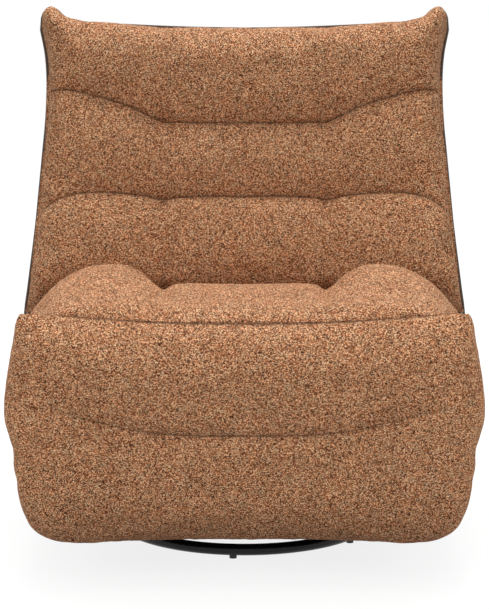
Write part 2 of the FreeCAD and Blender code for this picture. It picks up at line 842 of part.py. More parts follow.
def pad_section(x, share):
    """A front pad section: two rolls with a sewn channel between them that climbs to the sides."""
    rear = float(pad_rear)
    upper_rear = -float(size.cushion_front) - float(size.link_gap) * 2
    depth = float(size.pad_depth)
    front = rear - depth
    low = float(size.pad_bottom)
    high = float(size.pad_top)
    middle = low + (high - low) * PAD_MIDDLE
    sag = (high - low) * PAD_SAG
    tuft = float(size.tuft_offset)
    climb = max(0, (abs(x) / tuft - 1) / SEAM_SPREAD) ** SEAM_POWER
    seam_rise = float(size.pad_seam_rise)
    seam = min(float(size.pad_seam_height) + seam_rise * climb, middle + seam_rise)
    pinch = CHANNEL_LEAST + (1 - CHANNEL_LEAST) * dip(x, tuft, tuft * CHANNEL_WIDTH)
    channel = float(size.channel_depth) * pinch * (1 - CHANNEL_FADE * share ** CHANNEL_FADE_POWER)
    thick = drawn_in(share, PAD_THICKNESS_POWER)
    spine = rear - depth * PAD_SPINE

    def across(y):
        return spine + (y - spine) * thick

    def along(z):
        power = PAD_TOP_POWER if z > middle else PAD_BOTTOM_POWER
        return middle + (z - middle) * drawn_in(share, power)

    step_top = float(board_top) + float(size.edge_radius)
    step_bottom = float(board_top)
    toe = float(size.pad_edge_radius)
    nose = rear - depth * PAD_NOSE
    lower_front = front + depth * LOWER_ROLL_SETBACK
    start = (across(rear), along(step_bottom))
    steps = [
        ((across(rear), along(low + toe)),),
        ((across(rear - toe), along(low)),),
        ((across(nose), along(low)),),
        ((across(lower_front), along((low + seam) / 2 - sag)), (across(front + channel), along(seam))),
        ((across(front), along((seam + high) / 2 - sag)), (across(nose), along(high - toe))),
        ((across((nose + upper_rear) / 2), along(high)), (across(upper_rear), along(high - toe))),
        ((across(upper_rear), along(step_top)),),
        (start,),
    ]
    return outline_wire(start, steps, lambda p: Vector(x, p[0], p[1]))


# Footrest

def drive():
    end_right = rail_inner + size.bolt_head_height
    end_left = size.seat_half_width + size.link_gap + size.lever_thickness
    piece(rod_x("drive_tube", size.drive_tube_radius, (-end_left, end_right), drive_y, drive_z))
    start = (drive_y, drive_z)
    tube_bore = size.drive_tube_radius + size.fixed_gap
    pin_bore = size.pin_radius + size.running_gap
    for name, side in SIDES:
        x = span(arm_inner, arm_outer, side)
        piece(strap(f"{name}_drive_arm", x, start, arm_end, size.arm_width, (tube_bore, pin_bore)))
    x = (-end_left, -end_left + size.lever_thickness)
    up = size.lever_angle
    blade_length = size.lever_length - size.grip_length
    tip = (drive_y - size.lever_length * cosine(up), drive_z + size.lever_length * sine(up))
    collar_end = (drive_y - blade_length * cosine(up), drive_z + blade_length * sine(up))
    hub = rod_x("lever_hub", size.lever_hub_radius, x, drive_y, drive_z)
    turn = 180 - up
    blade = new("Part::Box", "lever_blade")
    bind(blade, Length=size.lever_thickness, Width=blade_length, Height=size.lever_width)
    swing(blade, start, turn, x[0], dim(0), -size.lever_width / 2)
    bore = rod_x("lever_bore", tube_bore, x, drive_y, drive_z)
    piece(cut("release_lever", fuse("lever_blank", [hub, blade]), [bore]))
    grip = new("Part::Box", "grip_blank")
    bind(grip, Length=size.lever_thickness, Width=size.grip_length, Height=size.lever_width)
    swing(grip, collar_end, turn, x[0], dim(0), -size.lever_width / 2)
    knob = rod_x("grip_end", size.lever_width / 2, x, tip[0], tip[1])
    piece(fuse("lever_grip", [grip, knob]))


def footrest_links():
    pins = []
    bore = (size.pin_radius + size.fixed_gap, size.pin_radius + size.running_gap)
    for name, side in SIDES:
        x = span(link_inner, link_outer, side)
        piece(strap(f"{name}_footrest_link", x, arm_end, (foot_y, foot_z), size.link_width, bore))
        pin_x = span(link_inner - size.link_gap / 2, arm_outer + size.link_gap, side)
        pins.append(rod_x("lower_pin", size.pin_radius, pin_x, arm_end[0], arm_end[1]))
    piece(group("lower_link_pins", pins))


def footrest():
    pins = []
    screws = []
    bracket_low = foot_z - size.foot_bracket_drop
    bracket_high = board_top - size.gauge
    screw_x = (foot_outer + foot_outer + size.link_width) / 2
    screw_hole = size.bolt_radius + size.fixed_gap
    half_board = size.board_half_width
    flange_rear = board_rear + size.gauge
    board = box("board_blank", (-half_board, half_board), (board_front, board_rear),
                (size.board_bottom, board_top))
    board_holes = []
    for name, side in SIDES:
        x = span(foot_inner, foot_outer, side)
        ear = box(f"{name}_foot_ear", x, (board_rear, foot_y), (bracket_low, bracket_high))
        lug = rod_x(f"{name}_foot_lug", size.link_width / 2, x, foot_y, foot_z)
        flange = box(f"{name}_foot_flange", span(foot_inner, foot_outer + size.link_width, side),
                     (board_rear, flange_rear), (bracket_low, bracket_high))
        hole = rod_x(f"{name}_foot_bore", size.pin_radius + size.fixed_gap, x, foot_y, foot_z)
        tools = [hole]
        for z in (bracket_low + size.link_width / 2, bracket_high - size.link_width / 2):
            x_screw = screw_x * side
            tools.append(rod_y("flange_hole", screw_hole, x_screw, (board_rear, flange_rear), z))
            board_holes.append(rod_y("board_hole", screw_hole, x_screw, (board_front, board_rear), z))
            head = rod_y("screw_head", size.bolt_head_radius, x_screw,
                         (flange_rear, flange_rear + size.screw_head_height), z)
            stem = rod_y("screw_stem", size.bolt_radius, x_screw, (board_front, flange_rear), z)
            screws.append(fuse("board_screw", [head, stem]))
        piece(cut(f"{name}_footrest_bracket", fuse(f"{name}_foot_blank", [ear, lug, flange]), tools))
        pin_x = span(foot_inner - size.link_gap / 2, link_outer + size.link_gap / 2, side)
        pins.append(rod_x("upper_pin", size.pin_radius, pin_x, foot_y, foot_z))
    piece(group("upper_link_pins", pins))
    piece(cut("footrest_board", board, board_holes))
    piece(group("board_screws", screws))
    piece(cushion("footrest_pad", float(size.pad_half_width), PAD_STATIONS, pad_section))


# Back

def back_box(label, x, depth, rise):
    item = new("Part::Box", label)
    bind(item, Length=x[1] - x[0], Width=depth[1] - depth[0], Height=rise[1] - rise[0])
    return swing(item, hinge, lean, x[0], depth[0], rise[0])


def back_point(depth, rise):
    """The (y, z) place of a point of the back."""
    y = hinge_y + depth * cosine(size.back_angle) + rise * sine(size.back_angle)
    z = hinge_z - depth * sine(size.back_angle) + rise * cosine(size.back_angle)
    return y, z


def hinge_parts():
    pins = []
    washers = []
    bore = size.hinge_pin_radius + size.running_gap
    for name, side in SIDES:
        stem = rod_x(f"{name}_pin_stem", size.hinge_pin_radius,
                     span(upright_outer - size.link_gap, rail_inner, side), hinge_y, hinge_z)
        head = rod_x(f"{name}_pin_head", size.hinge_head_radius,
                     span(rail_inner, rail_inner + size.bolt_head_height, side), hinge_y, hinge_z)
        pins.append(fuse(f"{name}_hinge_pin", [stem, head]))
        x = span(hinge_outer + size.soft_gap, mechanism_inner, side)
        disc = rod_x(f"{name}_washer_disc", size.hinge_washer_radius, x, hinge_y, hinge_z)
        washers.append(cut(f"{name}_hinge_washer", disc, [rod_x("washer_hole", bore, x, hinge_y, hinge_z)]))
    piece(group("back_hinge_pins", pins))
    piece(group("hinge_washers", washers))


def back_brackets():
    low = size.bracket_radius
    neck = size.upright_bottom + size.gauge * 2
    front = upright_front + size.link_gap
    rear = upright_rear - size.link_gap
    outline = [
        (-low, -low / 2),
        (low / 2, -low),
        (rear - size.link_width / 2, -size.gauge),
        (rear, neck),
        (rear, size.bracket_top),
        (front, size.bracket_top),
        (front, neck),
        (-low, low / 2),
    ]
    hole = size.bolt_radius + size.fixed_gap
    middle = (upright_front + upright_rear) / 2
    places = [
        (middle, size.bracket_top - size.bracket_bolt_inset),
        (middle, neck + size.bracket_bolt_inset),
    ]
    bores = [(dim(0), dim(0), size.hinge_pin_radius + size.running_gap)]
    bores += [(depth, rise, hole) for depth, rise in places]
    bolts = []
    for name, side in SIDES:
        x = span(upright_outer, hinge_outer, side)
        bracket = plate(f"{name}_back_bracket", x, outline, bores)
        piece(swing(bracket, hinge, lean, x[0], dim(0), dim(0)))
        upright_x = span(upright_inner, upright_outer, side)
        upright = back_box(f"{name}_upright_blank", upright_x, (upright_front, upright_rear),
                           (size.upright_bottom, size.upright_top))
        holes = []
        for depth, rise in places:
            y, z = back_point(depth, rise)
            holes.append(rod_x("upright_hole", hole, upright_x, y, z))
            stem = rod_x("bracket_bolt_stem", size.bolt_radius, span(upright_inner, hinge_outer, side), y, z)
            head = rod_x("bracket_bolt_head", size.bolt_head_radius,
                         span(upright_inner - size.bolt_head_height, upright_inner, side), y, z)
            bolts.append(fuse("bracket_bolt", [stem, head]))
        piece(cut(f"{name}_back_upright", upright, holes))
    piece(group("bracket_bolts", bolts))


def back_frame():
    half = size.back_rail_half_width
    height = size.back_rail_height
    levels = {
        "lower": size.upright_bottom,
        "middle": size.back_rail_middle,
        "top": size.upright_top - height,
    }
    for name, low in levels.items():
        depth = (upright_rear, back_rail_rear)
        piece(back_box(f"{name}_back_rail", (-half, half), depth, (low, low + height)))
    straps = []
    for index in range(STRAP_COUNT):
        low = size.strap_first + size.strap_pitch * index
        straps.append(back_box("back_strap", (-upright_outer, upright_outer), (webbing_front, upright_front),
                               (low, low + size.strap_width)))
    piece(group("back_webbing", straps))


def rounded(label, blank, radius):
    """The blank with all its edges rounded."""
    doc.recompute()
    item = new("Part::Fillet", label)
    item.Base = blank
    reach = float(radius)
    item.Edges = [(index + 1, reach, reach) for index in range(len(blank.Shape.Edges))]
    return item


def cheek_outline(rear):
    """The lower end of a bolster, kept behind the side panel both upright and fully reclined."""
    low = size.back_cushion_bottom
    high = low + size.upright_depth
    clear = size.panel_rear - hinge_y + size.link_gap * 2
    upright = size.back_angle
    reclined = size.back_angle + size.recline_travel
    front = (clear - low * sine(upright)) / cosine(upright)
    corner_angle = upright + size.recline_travel / 2
    corner_reach = clear / cosine(size.recline_travel / 2)
    corner = (corner_reach * cosine(corner_angle), corner_reach * sine(corner_angle))
    toe = (clear - rear * cosine(reclined)) / sine(reclined)
    return [(front, low), corner, (rear, toe), (rear, high), (front, high)]


def back_padding():
    rear = upright_rear - size.soft_gap
    inner = hinge_outer + size.soft_gap
    outer = size.rear_panel_half_width
    edge = size.edge_radius
    for name, side in SIDES:
        blank = back_box(f"{name}_bolster_blank", span(inner, outer, side), (webbing_front, rear),
                         (size.back_cushion_bottom, size.upright_top))
        roll = rounded(f"{name}_bolster_roll", blank, edge)
        cheek_x = span(inner + edge, outer - edge, side)
        cheek = plate(f"{name}_bolster_cheek", cheek_x, cheek_outline(rear), [])
        swing(cheek, hinge, lean, cheek_x[0], dim(0), dim(0))
        piece(fuse(f"{name}_side_bolster", [roll, cheek]))
    top_levels = (size.upright_top + size.soft_gap, size.upright_top + size.top_padding_height)
    half = size.back_rail_half_width
    blank = back_box("top_padding_blank", (-half, half), (webbing_front, back_rail_rear), top_levels)
    piece(rounded("top_padding", blank, size.edge_radius))
    half = size.rear_panel_half_width
    blank = back_box("rear_panel_blank", (-half, half), (rear_panel_front, rear_panel_rear),
                     (size.link_gap, size.back_top))
    piece(rounded("rear_panel", blank, size.edge_radius))


BACK_STATIONS = (0, 0.19, 0.38, 0.52, 0.66, 0.78, 0.88, 0.94, 0.975, 0.995)
BACK_THICKNESS_POWER = 12
EAR_POWER = 8
EAR_ROUNDING_START = 0.94
EAR_ROUNDING = 0.55
# Rises of the seams towards the sides, as shares of the cushion's height
LOW_SEAM_HUMP = 0.03
LOW_SEAM_FALL = 0.078
LOW_SEAM_POWER = 7
HIGH_SEAM_CLIMB = 0.142
HIGH_SEAM_POWER = 0.66
# Depths, as shares of the cushion's depth
BACK_SPINE = 0.35
BACK_FOOT_SETBACK = 0.25
LOWER_ROLL_BULGE = 0.1
UPPER_ROLL_SETBACK = 0.02
HIGH_SEAM_SETBACK = 0.034
TOP_FRONT = 0.37
TOP_MIDDLE = 0.17
BACK_TUFT_PULL = 0.076
# The sewn seams
GROOVE_FADE = 0.55
GROOVE_FADE_POWER = 3
GROOVE_LEAST = 0.62
# The tight turn from a seam to a roll's face, as shares of the roll's height and of its swell
SHOULDER_REACH = 0.16
SHOULDER_FULLNESS = 0.8
HALF_TURN = math.sqrt(0.5)


def back_section(x, share):
    """A back section: three rolls between two sewn seams, and ears at the top corners."""
    rear = float(cushion_back)
    depth = float(size.back_cushion_depth)
    front = rear - depth
    low = float(size.back_cushion_bottom)
    tall = float(size.back_top) - low
    tuft = float(size.tuft_offset)
    edge = float(size.edge_radius)
    outside = max(0, (abs(x) - tuft) / (float(size.back_half_width) - tuft))
    hump = LOW_SEAM_HUMP * math.sin(math.pi * outside)
    seam_low = float(size.back_seam_low) + tall * (hump - LOW_SEAM_FALL * outside ** LOW_SEAM_POWER)
    seam_high = float(size.back_seam_high) + tall * HIGH_SEAM_CLIMB * outside ** HIGH_SEAM_POWER
    round_off = max(0, (share - EAR_ROUNDING_START) / (1 - EAR_ROUNDING_START)) ** 2
    top = float(size.back_top) + float(size.ear_rise) * (share ** EAR_POWER - EAR_ROUNDING * round_off)
    hollow = dip(x, tuft, tuft * TUFT_WIDTH)
    pinch = GROOVE_LEAST + (1 - GROOVE_LEAST) * hollow
    groove = float(size.back_seam_depth) * pinch * (1 - GROOVE_FADE * share ** GROOVE_FADE_POWER)
    thick = drawn_in(share, BACK_THICKNESS_POWER)
    spine = rear - depth * BACK_SPINE
    pulled_front = front + depth * BACK_TUFT_PULL * hollow

    def across(place):
        return spine + (place - spine) * thick

    low_front = pulled_front - depth * LOWER_ROLL_BULGE
    high_front = pulled_front + depth * UPPER_ROLL_SETBACK
    high_groove = front + groove + depth * HIGH_SEAM_SETBACK

    def shoulder(seam_depth, seam, face, height):
        """The half-way point and the end of the turn from a seam to the face of a roll of that height."""
        swell = (face - seam_depth) * SHOULDER_FULLNESS
        reach = height * SHOULDER_REACH
        half_way = (across(seam_depth + swell * HALF_TURN), seam + reach * (1 - HALF_TURN))
        return half_way, (across(seam_depth + swell), seam + reach)

    low_half, low_shoulder = shoulder(front + groove, seam_low, low_front, low - seam_low)
    rise_half, rise_shoulder = shoulder(front + groove, seam_low, pulled_front, seam_high - seam_low)
    fall_half, fall_shoulder = shoulder(high_groove, seam_high, pulled_front, seam_low - seam_high)
    top_half, top_shoulder = shoulder(high_groove, seam_high, high_front, top - seam_high)
    start = (across(rear), top - edge)
    steps = [
        ((across(rear), low),),
        ((across(front + depth * BACK_FOOT_SETBACK), low),),
        ((across(low_front), (low + seam_low) / 2), low_shoulder),
        (low_half, (across(front + groove), seam_low)),
        (rise_half, rise_shoulder),
        ((across(pulled_front), (seam_low + seam_high) / 2), fall_shoulder),
        (fall_half, (across(high_groove), seam_high)),
        (top_half, top_shoulder),
        ((across(high_front), (seam_high + top) / 2), (across(rear - depth * TOP_FRONT), top - edge)),
        ((across(rear - depth * TOP_MIDDLE), top), start),
    ]
    return outline_wire(start, steps, lambda p: Vector(x, p[0], p[1]))


def back_cushion():
    item = piece(cushion("back_cushion", float(size.back_half_width), BACK_STATIONS, back_section))
    turn = Rotation(Vector(1, 0, 0), float(lean))
    item.Placement = Placement(Vector(0, float(hinge_y), float(hinge_z)), turn)


ring_base()
glide_feet()
swivel_stage()
rock_springs()
chassis()
mechanism_plates()
seat_rails()
seat_springs()
side_panels()
piece(cushion("seat_cushion", float(size.cushion_half_width), SEAT_STATIONS, seat_section))
hinge_parts()
drive()
footrest_links()
footrest()
back_brackets()
back_frame()
back_padding()
back_cushion()
doc.recompute()

faults = [item.Name for item in doc.Objects if "Invalid" in item.State or "Error" in item.State]
for item in pieces:
    if item.Shape.isNull() or not item.Shape.isValid() or not item.Shape.Solids:
        faults.append(item.Label)
if faults:
    raise RuntimeError(f"These objects failed: {faults}")

os.makedirs("parts", exist_ok=True)
for item in pieces:
    item.Shape.exportStep(f"parts/{item.Label}.step")
print(f"{len(pieces)} sub-parts written")
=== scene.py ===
"""The looks of the recliner chair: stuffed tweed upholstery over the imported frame, in a white studio."""
import json
import math

import bmesh
import bpy
import numpy as np
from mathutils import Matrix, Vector


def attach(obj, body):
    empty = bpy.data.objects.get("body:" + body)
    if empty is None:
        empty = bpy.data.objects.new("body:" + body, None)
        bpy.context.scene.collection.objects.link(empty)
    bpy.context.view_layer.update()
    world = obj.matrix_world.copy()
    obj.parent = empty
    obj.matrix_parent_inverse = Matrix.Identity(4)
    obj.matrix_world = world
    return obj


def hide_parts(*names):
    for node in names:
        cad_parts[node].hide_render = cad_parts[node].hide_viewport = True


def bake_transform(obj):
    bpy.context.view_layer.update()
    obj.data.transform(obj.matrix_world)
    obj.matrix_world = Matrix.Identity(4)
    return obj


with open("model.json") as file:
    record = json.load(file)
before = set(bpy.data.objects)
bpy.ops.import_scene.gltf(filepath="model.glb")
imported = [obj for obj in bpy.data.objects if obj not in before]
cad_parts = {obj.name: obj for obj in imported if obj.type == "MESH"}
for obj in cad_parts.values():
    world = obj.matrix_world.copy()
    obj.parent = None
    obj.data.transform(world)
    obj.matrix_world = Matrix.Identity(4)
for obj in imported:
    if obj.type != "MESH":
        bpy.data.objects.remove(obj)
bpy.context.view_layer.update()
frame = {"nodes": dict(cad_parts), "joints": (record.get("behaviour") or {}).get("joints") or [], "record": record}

# All sizes are in metres. Places on the back are a rise along it and a depth to the rear, from its hinge.
BACK_LEAN = math.radians(22)
HINGE_Y, HINGE_Z = next(joint["pos_m"][1:] for joint in frame["joints"] if joint["name"] == "recline")
DEPTH_WAY = np.array([0, math.cos(BACK_LEAN), -math.sin(BACK_LEAN)])

# Grids and stuffing that the upholstered pieces share.
GRID_STEP = 0.0062
FINE_STEPS = 2000
CLOTH_FRAMES = 20
LEAST_MOVE = 0.01
ROLL_FLATNESS, ROLL_FULLNESS = 2.4, 0.6
EDGE_SHARE = 0.12
LINING_SHARE = 0.995
TRIM_PRESSURE, TRIM_SWELL = 2.0, 0.005

# Back cushion, by (rise up the leaning back, half width) and (distance from the middle, rise).
BACK_WIDTH = ((0.030, 0.441), (0.060, 0.437), (0.105, 0.431), (0.154, 0.4255), (0.203, 0.420), (0.252, 0.415),
              (0.301, 0.411), (0.350, 0.407), (0.400, 0.403), (0.449, 0.399), (0.499, 0.397), (0.540, 0.397),
              (0.574, 0.399), (0.599, 0.402), (0.624, 0.407), (0.649, 0.412), (0.674, 0.413), (0.700, 0.411))
EAR_HALF_WIDTH = 0.412
BACK_TOP = ((0.000, 0.645), (0.107, 0.647), (0.207, 0.651), (0.278, 0.655), (0.328, 0.659), (0.352, 0.664),
            (0.366, 0.671), (0.378, 0.682), (0.390, 0.688), (0.401, 0.684), (0.408, 0.672), (0.412, 0.653))
UPPER_SEAM = ((0.000, 0.431), (0.110, 0.432), (0.163, 0.437), (0.192, 0.447), (0.225, 0.463), (0.280, 0.481),
              (0.335, 0.495), (0.398, 0.501))
LOWER_SEAM = ((0.000, 0.279), (0.090, 0.279), (0.163, 0.2765), (0.222, 0.283), (0.278, 0.287), (0.311, 0.286),
              (0.342, 0.2805), (0.373, 0.267), (0.391, 0.253), (0.403, 0.241), (0.414, 0.231))
UPPER_SEAM_END, LOWER_SEAM_END = 0.398, 0.412
BACK_BOTTOM = 0.064
BACK_FULL = (0.119, 0.103, 0.101)
SEAM_THICKNESS = (0.088, 0.080)
GROOVE_FADE, GROOVE_POWER = 0.25, 4
BACK_RIM = 0.002
BACK_LINING = 0.0065
BACK_SIDE_REACH, BACK_TOP_REACH, BACK_FOOT_REACH = 0.040, 0.062, 0.05
BACK_EDGE = 0.003
BACK_TUCK = 0.12
BACK_PRESSURE, BACK_SWELL = 4.0, 0.014
BACK_SEAM_PULL = 0.006
TUFT_X = 0.163
TUFT_WIDTH, TUFT_DEPTH = 0.020, 0.005
TUFT_SEAM_REACH, TUFT_SEAM_DEPTH = 0.030, 0.012
CREASE_X = 0.158
CREASE_WIDTH, CREASE_DEPTH = 0.008, 0.0025

# Piping round the back: its radius, where it starts and turns in, and how far it stands out at the top.
PIPING_RADIUS = 0.003
PIPING_FOOT, PIPING_SHOULDER = 0.040, 0.645
PIPING_PROUD = 0.0022
PIPING_SIDE_POINTS, PIPING_TOP_POINTS = 60, 140

# Seat cushion, by (distance back from the chair's middle, size) and (distance from the middle, height).
SEAT_FRONT, SEAT_REAR = -0.3985, 0.094
SEAT_WIDTH = ((-0.3985, 0.394), (-0.33, 0.404), (-0.24, 0.411), (-0.10, 0.416), (0.094, 0.416))
SEAT_CROWN = ((-0.3985, 0.484), (-0.34, 0.4885), (-0.25, 0.490), (-0.16, 0.489), (-0.11, 0.4855),
              (-0.07, 0.479), (-0.02, 0.4695), (0.04, 0.451), (0.094, 0.427))
PUFF_SHARE = ((-0.3985, 0.10), (-0.30, 0.24), (-0.20, 0.48), (-0.10, 0.82), (-0.03, 1.00), (0.04, 1.00),
              (0.094, 0.94))
PUFF_ACROSS = ((0.000, 0.000), (0.100, 0.002), (0.125, 0.003), (0.141, 0.000), (0.152, -0.010),
               (0.162, 0.006), (0.172, 0.0175), (0.187, 0.0270), (0.217, 0.0370), (0.262, 0.040),
               (0.307, 0.032), (0.352, 0.007), (0.394, -0.041), (0.420, -0.066))
SEAT_SIDE_SEAM = 0.404
SEAT_BASE = 0.3745
SEAT_GRID_WIDTH, SEAT_GRID_SIDE, SEAT_GRID_TURN = 0.412, 0.10, 0.085
SEAT_GRID_RISE, SEAT_GRID_REAR = 0.08, 0.06
SEAT_FRONT_TURN, SEAT_REAR_TURN, SEAT_SIDE_TURN = 0.014, 0.035, 0.090
SEAT_LINING_SHARE, SEAT_LINING_INSET = 0.975, 0.004
SEAT_PRESSURE, SEAT_SWELL = 2.4, 0.008
NOTCH_X, NOTCH_Y = 0.152, 0.020
NOTCH_WIDTH, NOTCH_LENGTH, NOTCH_DEPTH = 0.013, 0.048, 0.034
NOTCH_HELD = 0.72
VALLEY_WIDTH, VALLEY_LENGTH, VALLEY_DEPTH = 0.014, 0.30, 0.006
VALLEY_POWER = 1.5
CORNER_LIFT, CORNER_POWER = 0.016, 3
CORNER_FROM, CORNER_RUN = -0.20, 0.20

# Front pad, by (height, half width) and (distance from the middle, height).
PAD_WIDTH = ((0.0755, 0.314), (0.0785, 0.331), (0.082, 0.346), (0.0885, 0.361), (0.097, 0.3755),
             (0.1065, 0.3846), (0.1293, 0.3954), (0.1464, 0.402), (0.173, 0.4075), (0.198, 0.411),
             (0.222, 0.4145), (0.255, 0.4185), (0.283, 0.424), (0.306, 0.4295), (0.330, 0.4305),
             (0.374, 0.4265), (0.418, 0.420), (0.461, 0.4125), (0.483, 0.4085), (0.494, 0.404),
             (0.505, 0.394))
PAD_FOOT = ((0.000, 0.0815), (0.200, 0.0795), (0.300, 0.0765), (0.345, 0.0755), (0.420, 0.0755))
PAD_TOP = ((0.000, 0.483), (0.110, 0.484), (0.190, 0.487), (0.280, 0.493), (0.350, 0.4985), (0.393, 0.499))
PAD_SEAM = ((0.000, 0.292), (0.110, 0.294), (0.173, 0.299), (0.235, 0.313), (0.297, 0.329), (0.390, 0.351))
PAD_HALF_WIDTH, PAD_TOP_END = 0.42, 0.395
PAD_RIM_Y = -0.4012
PAD_LINING_Y = -0.3868
PAD_STEP_Z, PAD_STEP_RUN = 0.362, 0.008
PAD_FULL = 0.081
PAD_SEAM_THICKNESS = 0.0765
PAD_SIDE_REACH, PAD_FOOT_REACH, PAD_HEAD_REACH = 0.060, 0.100, 0.080
PAD_TAPER = 0.12
PAD_TAPER_FROM, PAD_TAPER_TO = 0.25, 0.47
PAD_FLATNESS = 3.0
PAD_ROLL_WEIGHT = 0.1
PAD_TUFT_WIDTH, PAD_TUFT_EXTRA = 0.03, 0.5
CHANNEL_POWER, CHANNEL_LINE_POWER, CHANNEL_HELD = 4, 3, 0.3
# Painted shade: how many top rows of the pad are darkened where it meets the seat, and how fast that fades towards
# the sides.
HEM_SHADE_ROWS, HEM_SHADE_POWER = 3, 8
PAD_LIP, PAD_LINING_DROP = 0.009, 0.006
PAD_PRESSURE, PAD_SWELL = 1.6, 0.006
PAD_SEAM_PULL = 0.002

# Shell round the back frame, by (rise, depth of its front edge).
SHELL_FRONT = ((0.003, 0.0795), (0.008, 0.0605), (0.026, 0.0325), (0.062, 0.0180), (0.076, 0.0090),
               (0.640, 0.0085))
SHELL_REAR = 0.104
SHELL_BOTTOM, SHELL_TOP = 0.003, 0.641
SHELL_TOP_DROP, SHELL_TOP_POWER = 0.012, 8
SHELL_TOP_RADIUS, SHELL_FOOT_TURN = 0.024, 0.014
SHELL_CORNER = 0.020
SHELL_WAIST = 0.3985
SHELL_INSET = 0.003
SHELL_FOOT_RADIUS = 0.030
SHELL_EDGE_SHARE = 0.10
SHELL_WALL_POINTS, SHELL_CORNER_POINTS, SHELL_REAR_POINTS = 14, 7, 102
SHELL_STEP = 0.0075
SHELL_SEAM_COLUMN = 4
SHELL_PRESSURE, SHELL_SWELL = 2.0, 0.006
SHELL_SEAM_PULL = 0.003

# Side panels, by the right-hand one's (x, z) from its top edge down to its foot's lip, and the rear apron.
PANEL_FRONT, PANEL_REAR = -0.3825, 0.1895
PANEL_TOP = 0.3722
PANEL_FACE, PANEL_LINING = 0.4075, 0.3822
PANEL_EDGE_RADIUS = 0.012
PANEL_THICKNESS, PANEL_END_TURN = 0.026, 0.014
PANEL_LINING_DROP = 0.002
PANEL_SEAM_PULL = 0.0025
PANEL_EDGE_POINTS, PANEL_FACE_POINTS, PANEL_CURL_POINTS = 9, 35, 23
CURL_X, CURL_Z = 0.3455, 0.157
CURL_OUTER, CURL_INNER = 0.062, 0.0362
APRON_FRONT, APRON_REAR = 0.1655, 0.1895
APRON_BOTTOM, APRON_TOP = 0.0955, 0.2645
APRON_HALF_WIDTH = 0.3802
APRON_THICKNESS, APRON_TURN = 0.024, 0.012
APRON_CURL_GAP, APRON_SIDE_GAP = 0.0006, 0.001

# Cloth between seat and back: two folded strips, by (y, z) along the fold, and a pleated patch at each side.
STRIP_ROWS, STRIP_COLUMNS = 25, 121
CREVICE_HALF_WIDTH = 0.380
CREVICE_LINE = ((0.082, 0.418), (0.090, 0.395), (0.098, 0.377), (0.106, 0.390), (0.118, 0.412))
DUST_HALF_WIDTH = 0.372
DUST_LINE = ((0.186, 0.262), (0.200, 0.253), (0.216, 0.256), (0.227, 0.274), (0.2315, 0.300))
BELLOWS_FRONT, BELLOWS_REAR = 0.074, 0.185
BELLOWS_SLANT = 0.28
BELLOWS_TOP = 0.424
BELLOWS_GAP = 0.0004
BELLOWS_X = 0.394
BELLOWS_PLEAT, BELLOWS_FOLDS = 0.0035, 7
BELLOWS_ROWS, BELLOWS_COLUMNS = 15, 61

# Colours of the cloth and the piping, as ramps of (place, colour); some of them paint light and shade, as marked.
TWEED = ((0.24, (0.040, 0.012, 0.005)), (0.34, (0.165, 0.050, 0.019)), (0.46, (0.395, 0.140, 0.057)),
         (0.57, (0.600, 0.240, 0.103)), (0.68, (0.810, 0.395, 0.190)), (0.78, (1.000, 0.680, 0.420)))
LOOP_SHARE, YARN_SHARE = 0.76, 0.24
# Painted light and shade: each loop is lightened in its middle and darkened in the hollows at its edge.
LOOP_LIGHT_AND_SHADE = ((0.10, (1.12, 1.12, 1.12)), (0.75, (0.70, 0.68, 0.66)))
CLOTH_PATCHES = ((0.30, (0.90, 0.89, 0.88)), (0.70, (1.08, 1.08, 1.08)))
YARN_DYES = ((0.32, (1.07, 0.97, 0.91)), (0.68, (0.94, 1.02, 1.05)))
WOVEN_ROWS = ((0.0, (0.93, 0.92, 0.91)), (1.0, (1.05, 1.05, 1.05)))
# Painted shade: the dark colour mixed into the cloth along its sewn seams and creases, and along the pad's top
# edge under the seat.
SEAM_SHADE_COLOUR = (0.066, 0.028, 0.015, 1)
SEAM_SHADE_SHARPNESS, SEAM_SHADE_DARKNESS = 1.8, 0.75
YARN_RELIEF = 0.5
# Painted shade in part: the piping's dark colour also stands for the shade along the back's side edges.
PIPING_AND_EDGE_SHADE = ((0.3, (0.045, 0.031, 0.023)), (0.7, (0.130, 0.092, 0.068)))
WEBBING_WEAVE = ((0.0, (0.05, 0.045, 0.04)), (1.0, (0.24, 0.21, 0.18)))
GRAIN_SHARE, CLOUD_SHARE = 0.7, 0.3
GRAIN_DARK, GRAIN_LIGHT = 0.34, 0.66
GLOSS_FROM, GLOSS_TO = 0.3, 0.7
EVEN = (1.0, 1.0, 1.0)

# Studio: white paper and backdrop, a bright dome, three lamps and the camera.
WHITE = (1, 1, 1, 1)
FLOOR_SPAN = 14.0
PAPER_TOOTH = ((0.3, (0.44, 0.44, 0.44)), (0.7, (0.46, 0.46, 0.46)))
PAPER_SEEN = (0.2, 0.2, 0.2, 1)
PAPER_GLOW = 0.84
DOME_LIGHT = 1.25
LAMP_AIM = (0, -0.3, 0.3)
TOP_LAMP_PLACE = (0.0, 1.6, 4.0)
SIDE_LAMP_X, SIDE_LAMP_Y, SIDE_LAMP_Z = 1.5, -1.7, 1.0
CAMERA_PLACE = (0.0, -5.5, 1.55)
CAMERA_DOWN = 11.47
CAMERA_LENS, CAMERA_SENSOR = 172.4, 36.0


def smooth(points, at):
    """Values of a smooth curve through (place, value) points."""
    places, values = np.array(points, dtype=float).T
    slopes = np.gradient(values, places)
    at = np.clip(at, places[0], places[-1])
    start = np.clip(np.searchsorted(places, at) - 1, 0, len(places) - 2)
    gap = places[start + 1] - places[start]
    t = (at - places[start]) / gap
    rest = 1 - t
    return (rest ** 2 * (1 + 2 * t) * values[start] + t ** 2 * (3 - 2 * t) * values[start + 1]
            + gap * t * rest * (rest * slopes[start] - t * slopes[start + 1]))


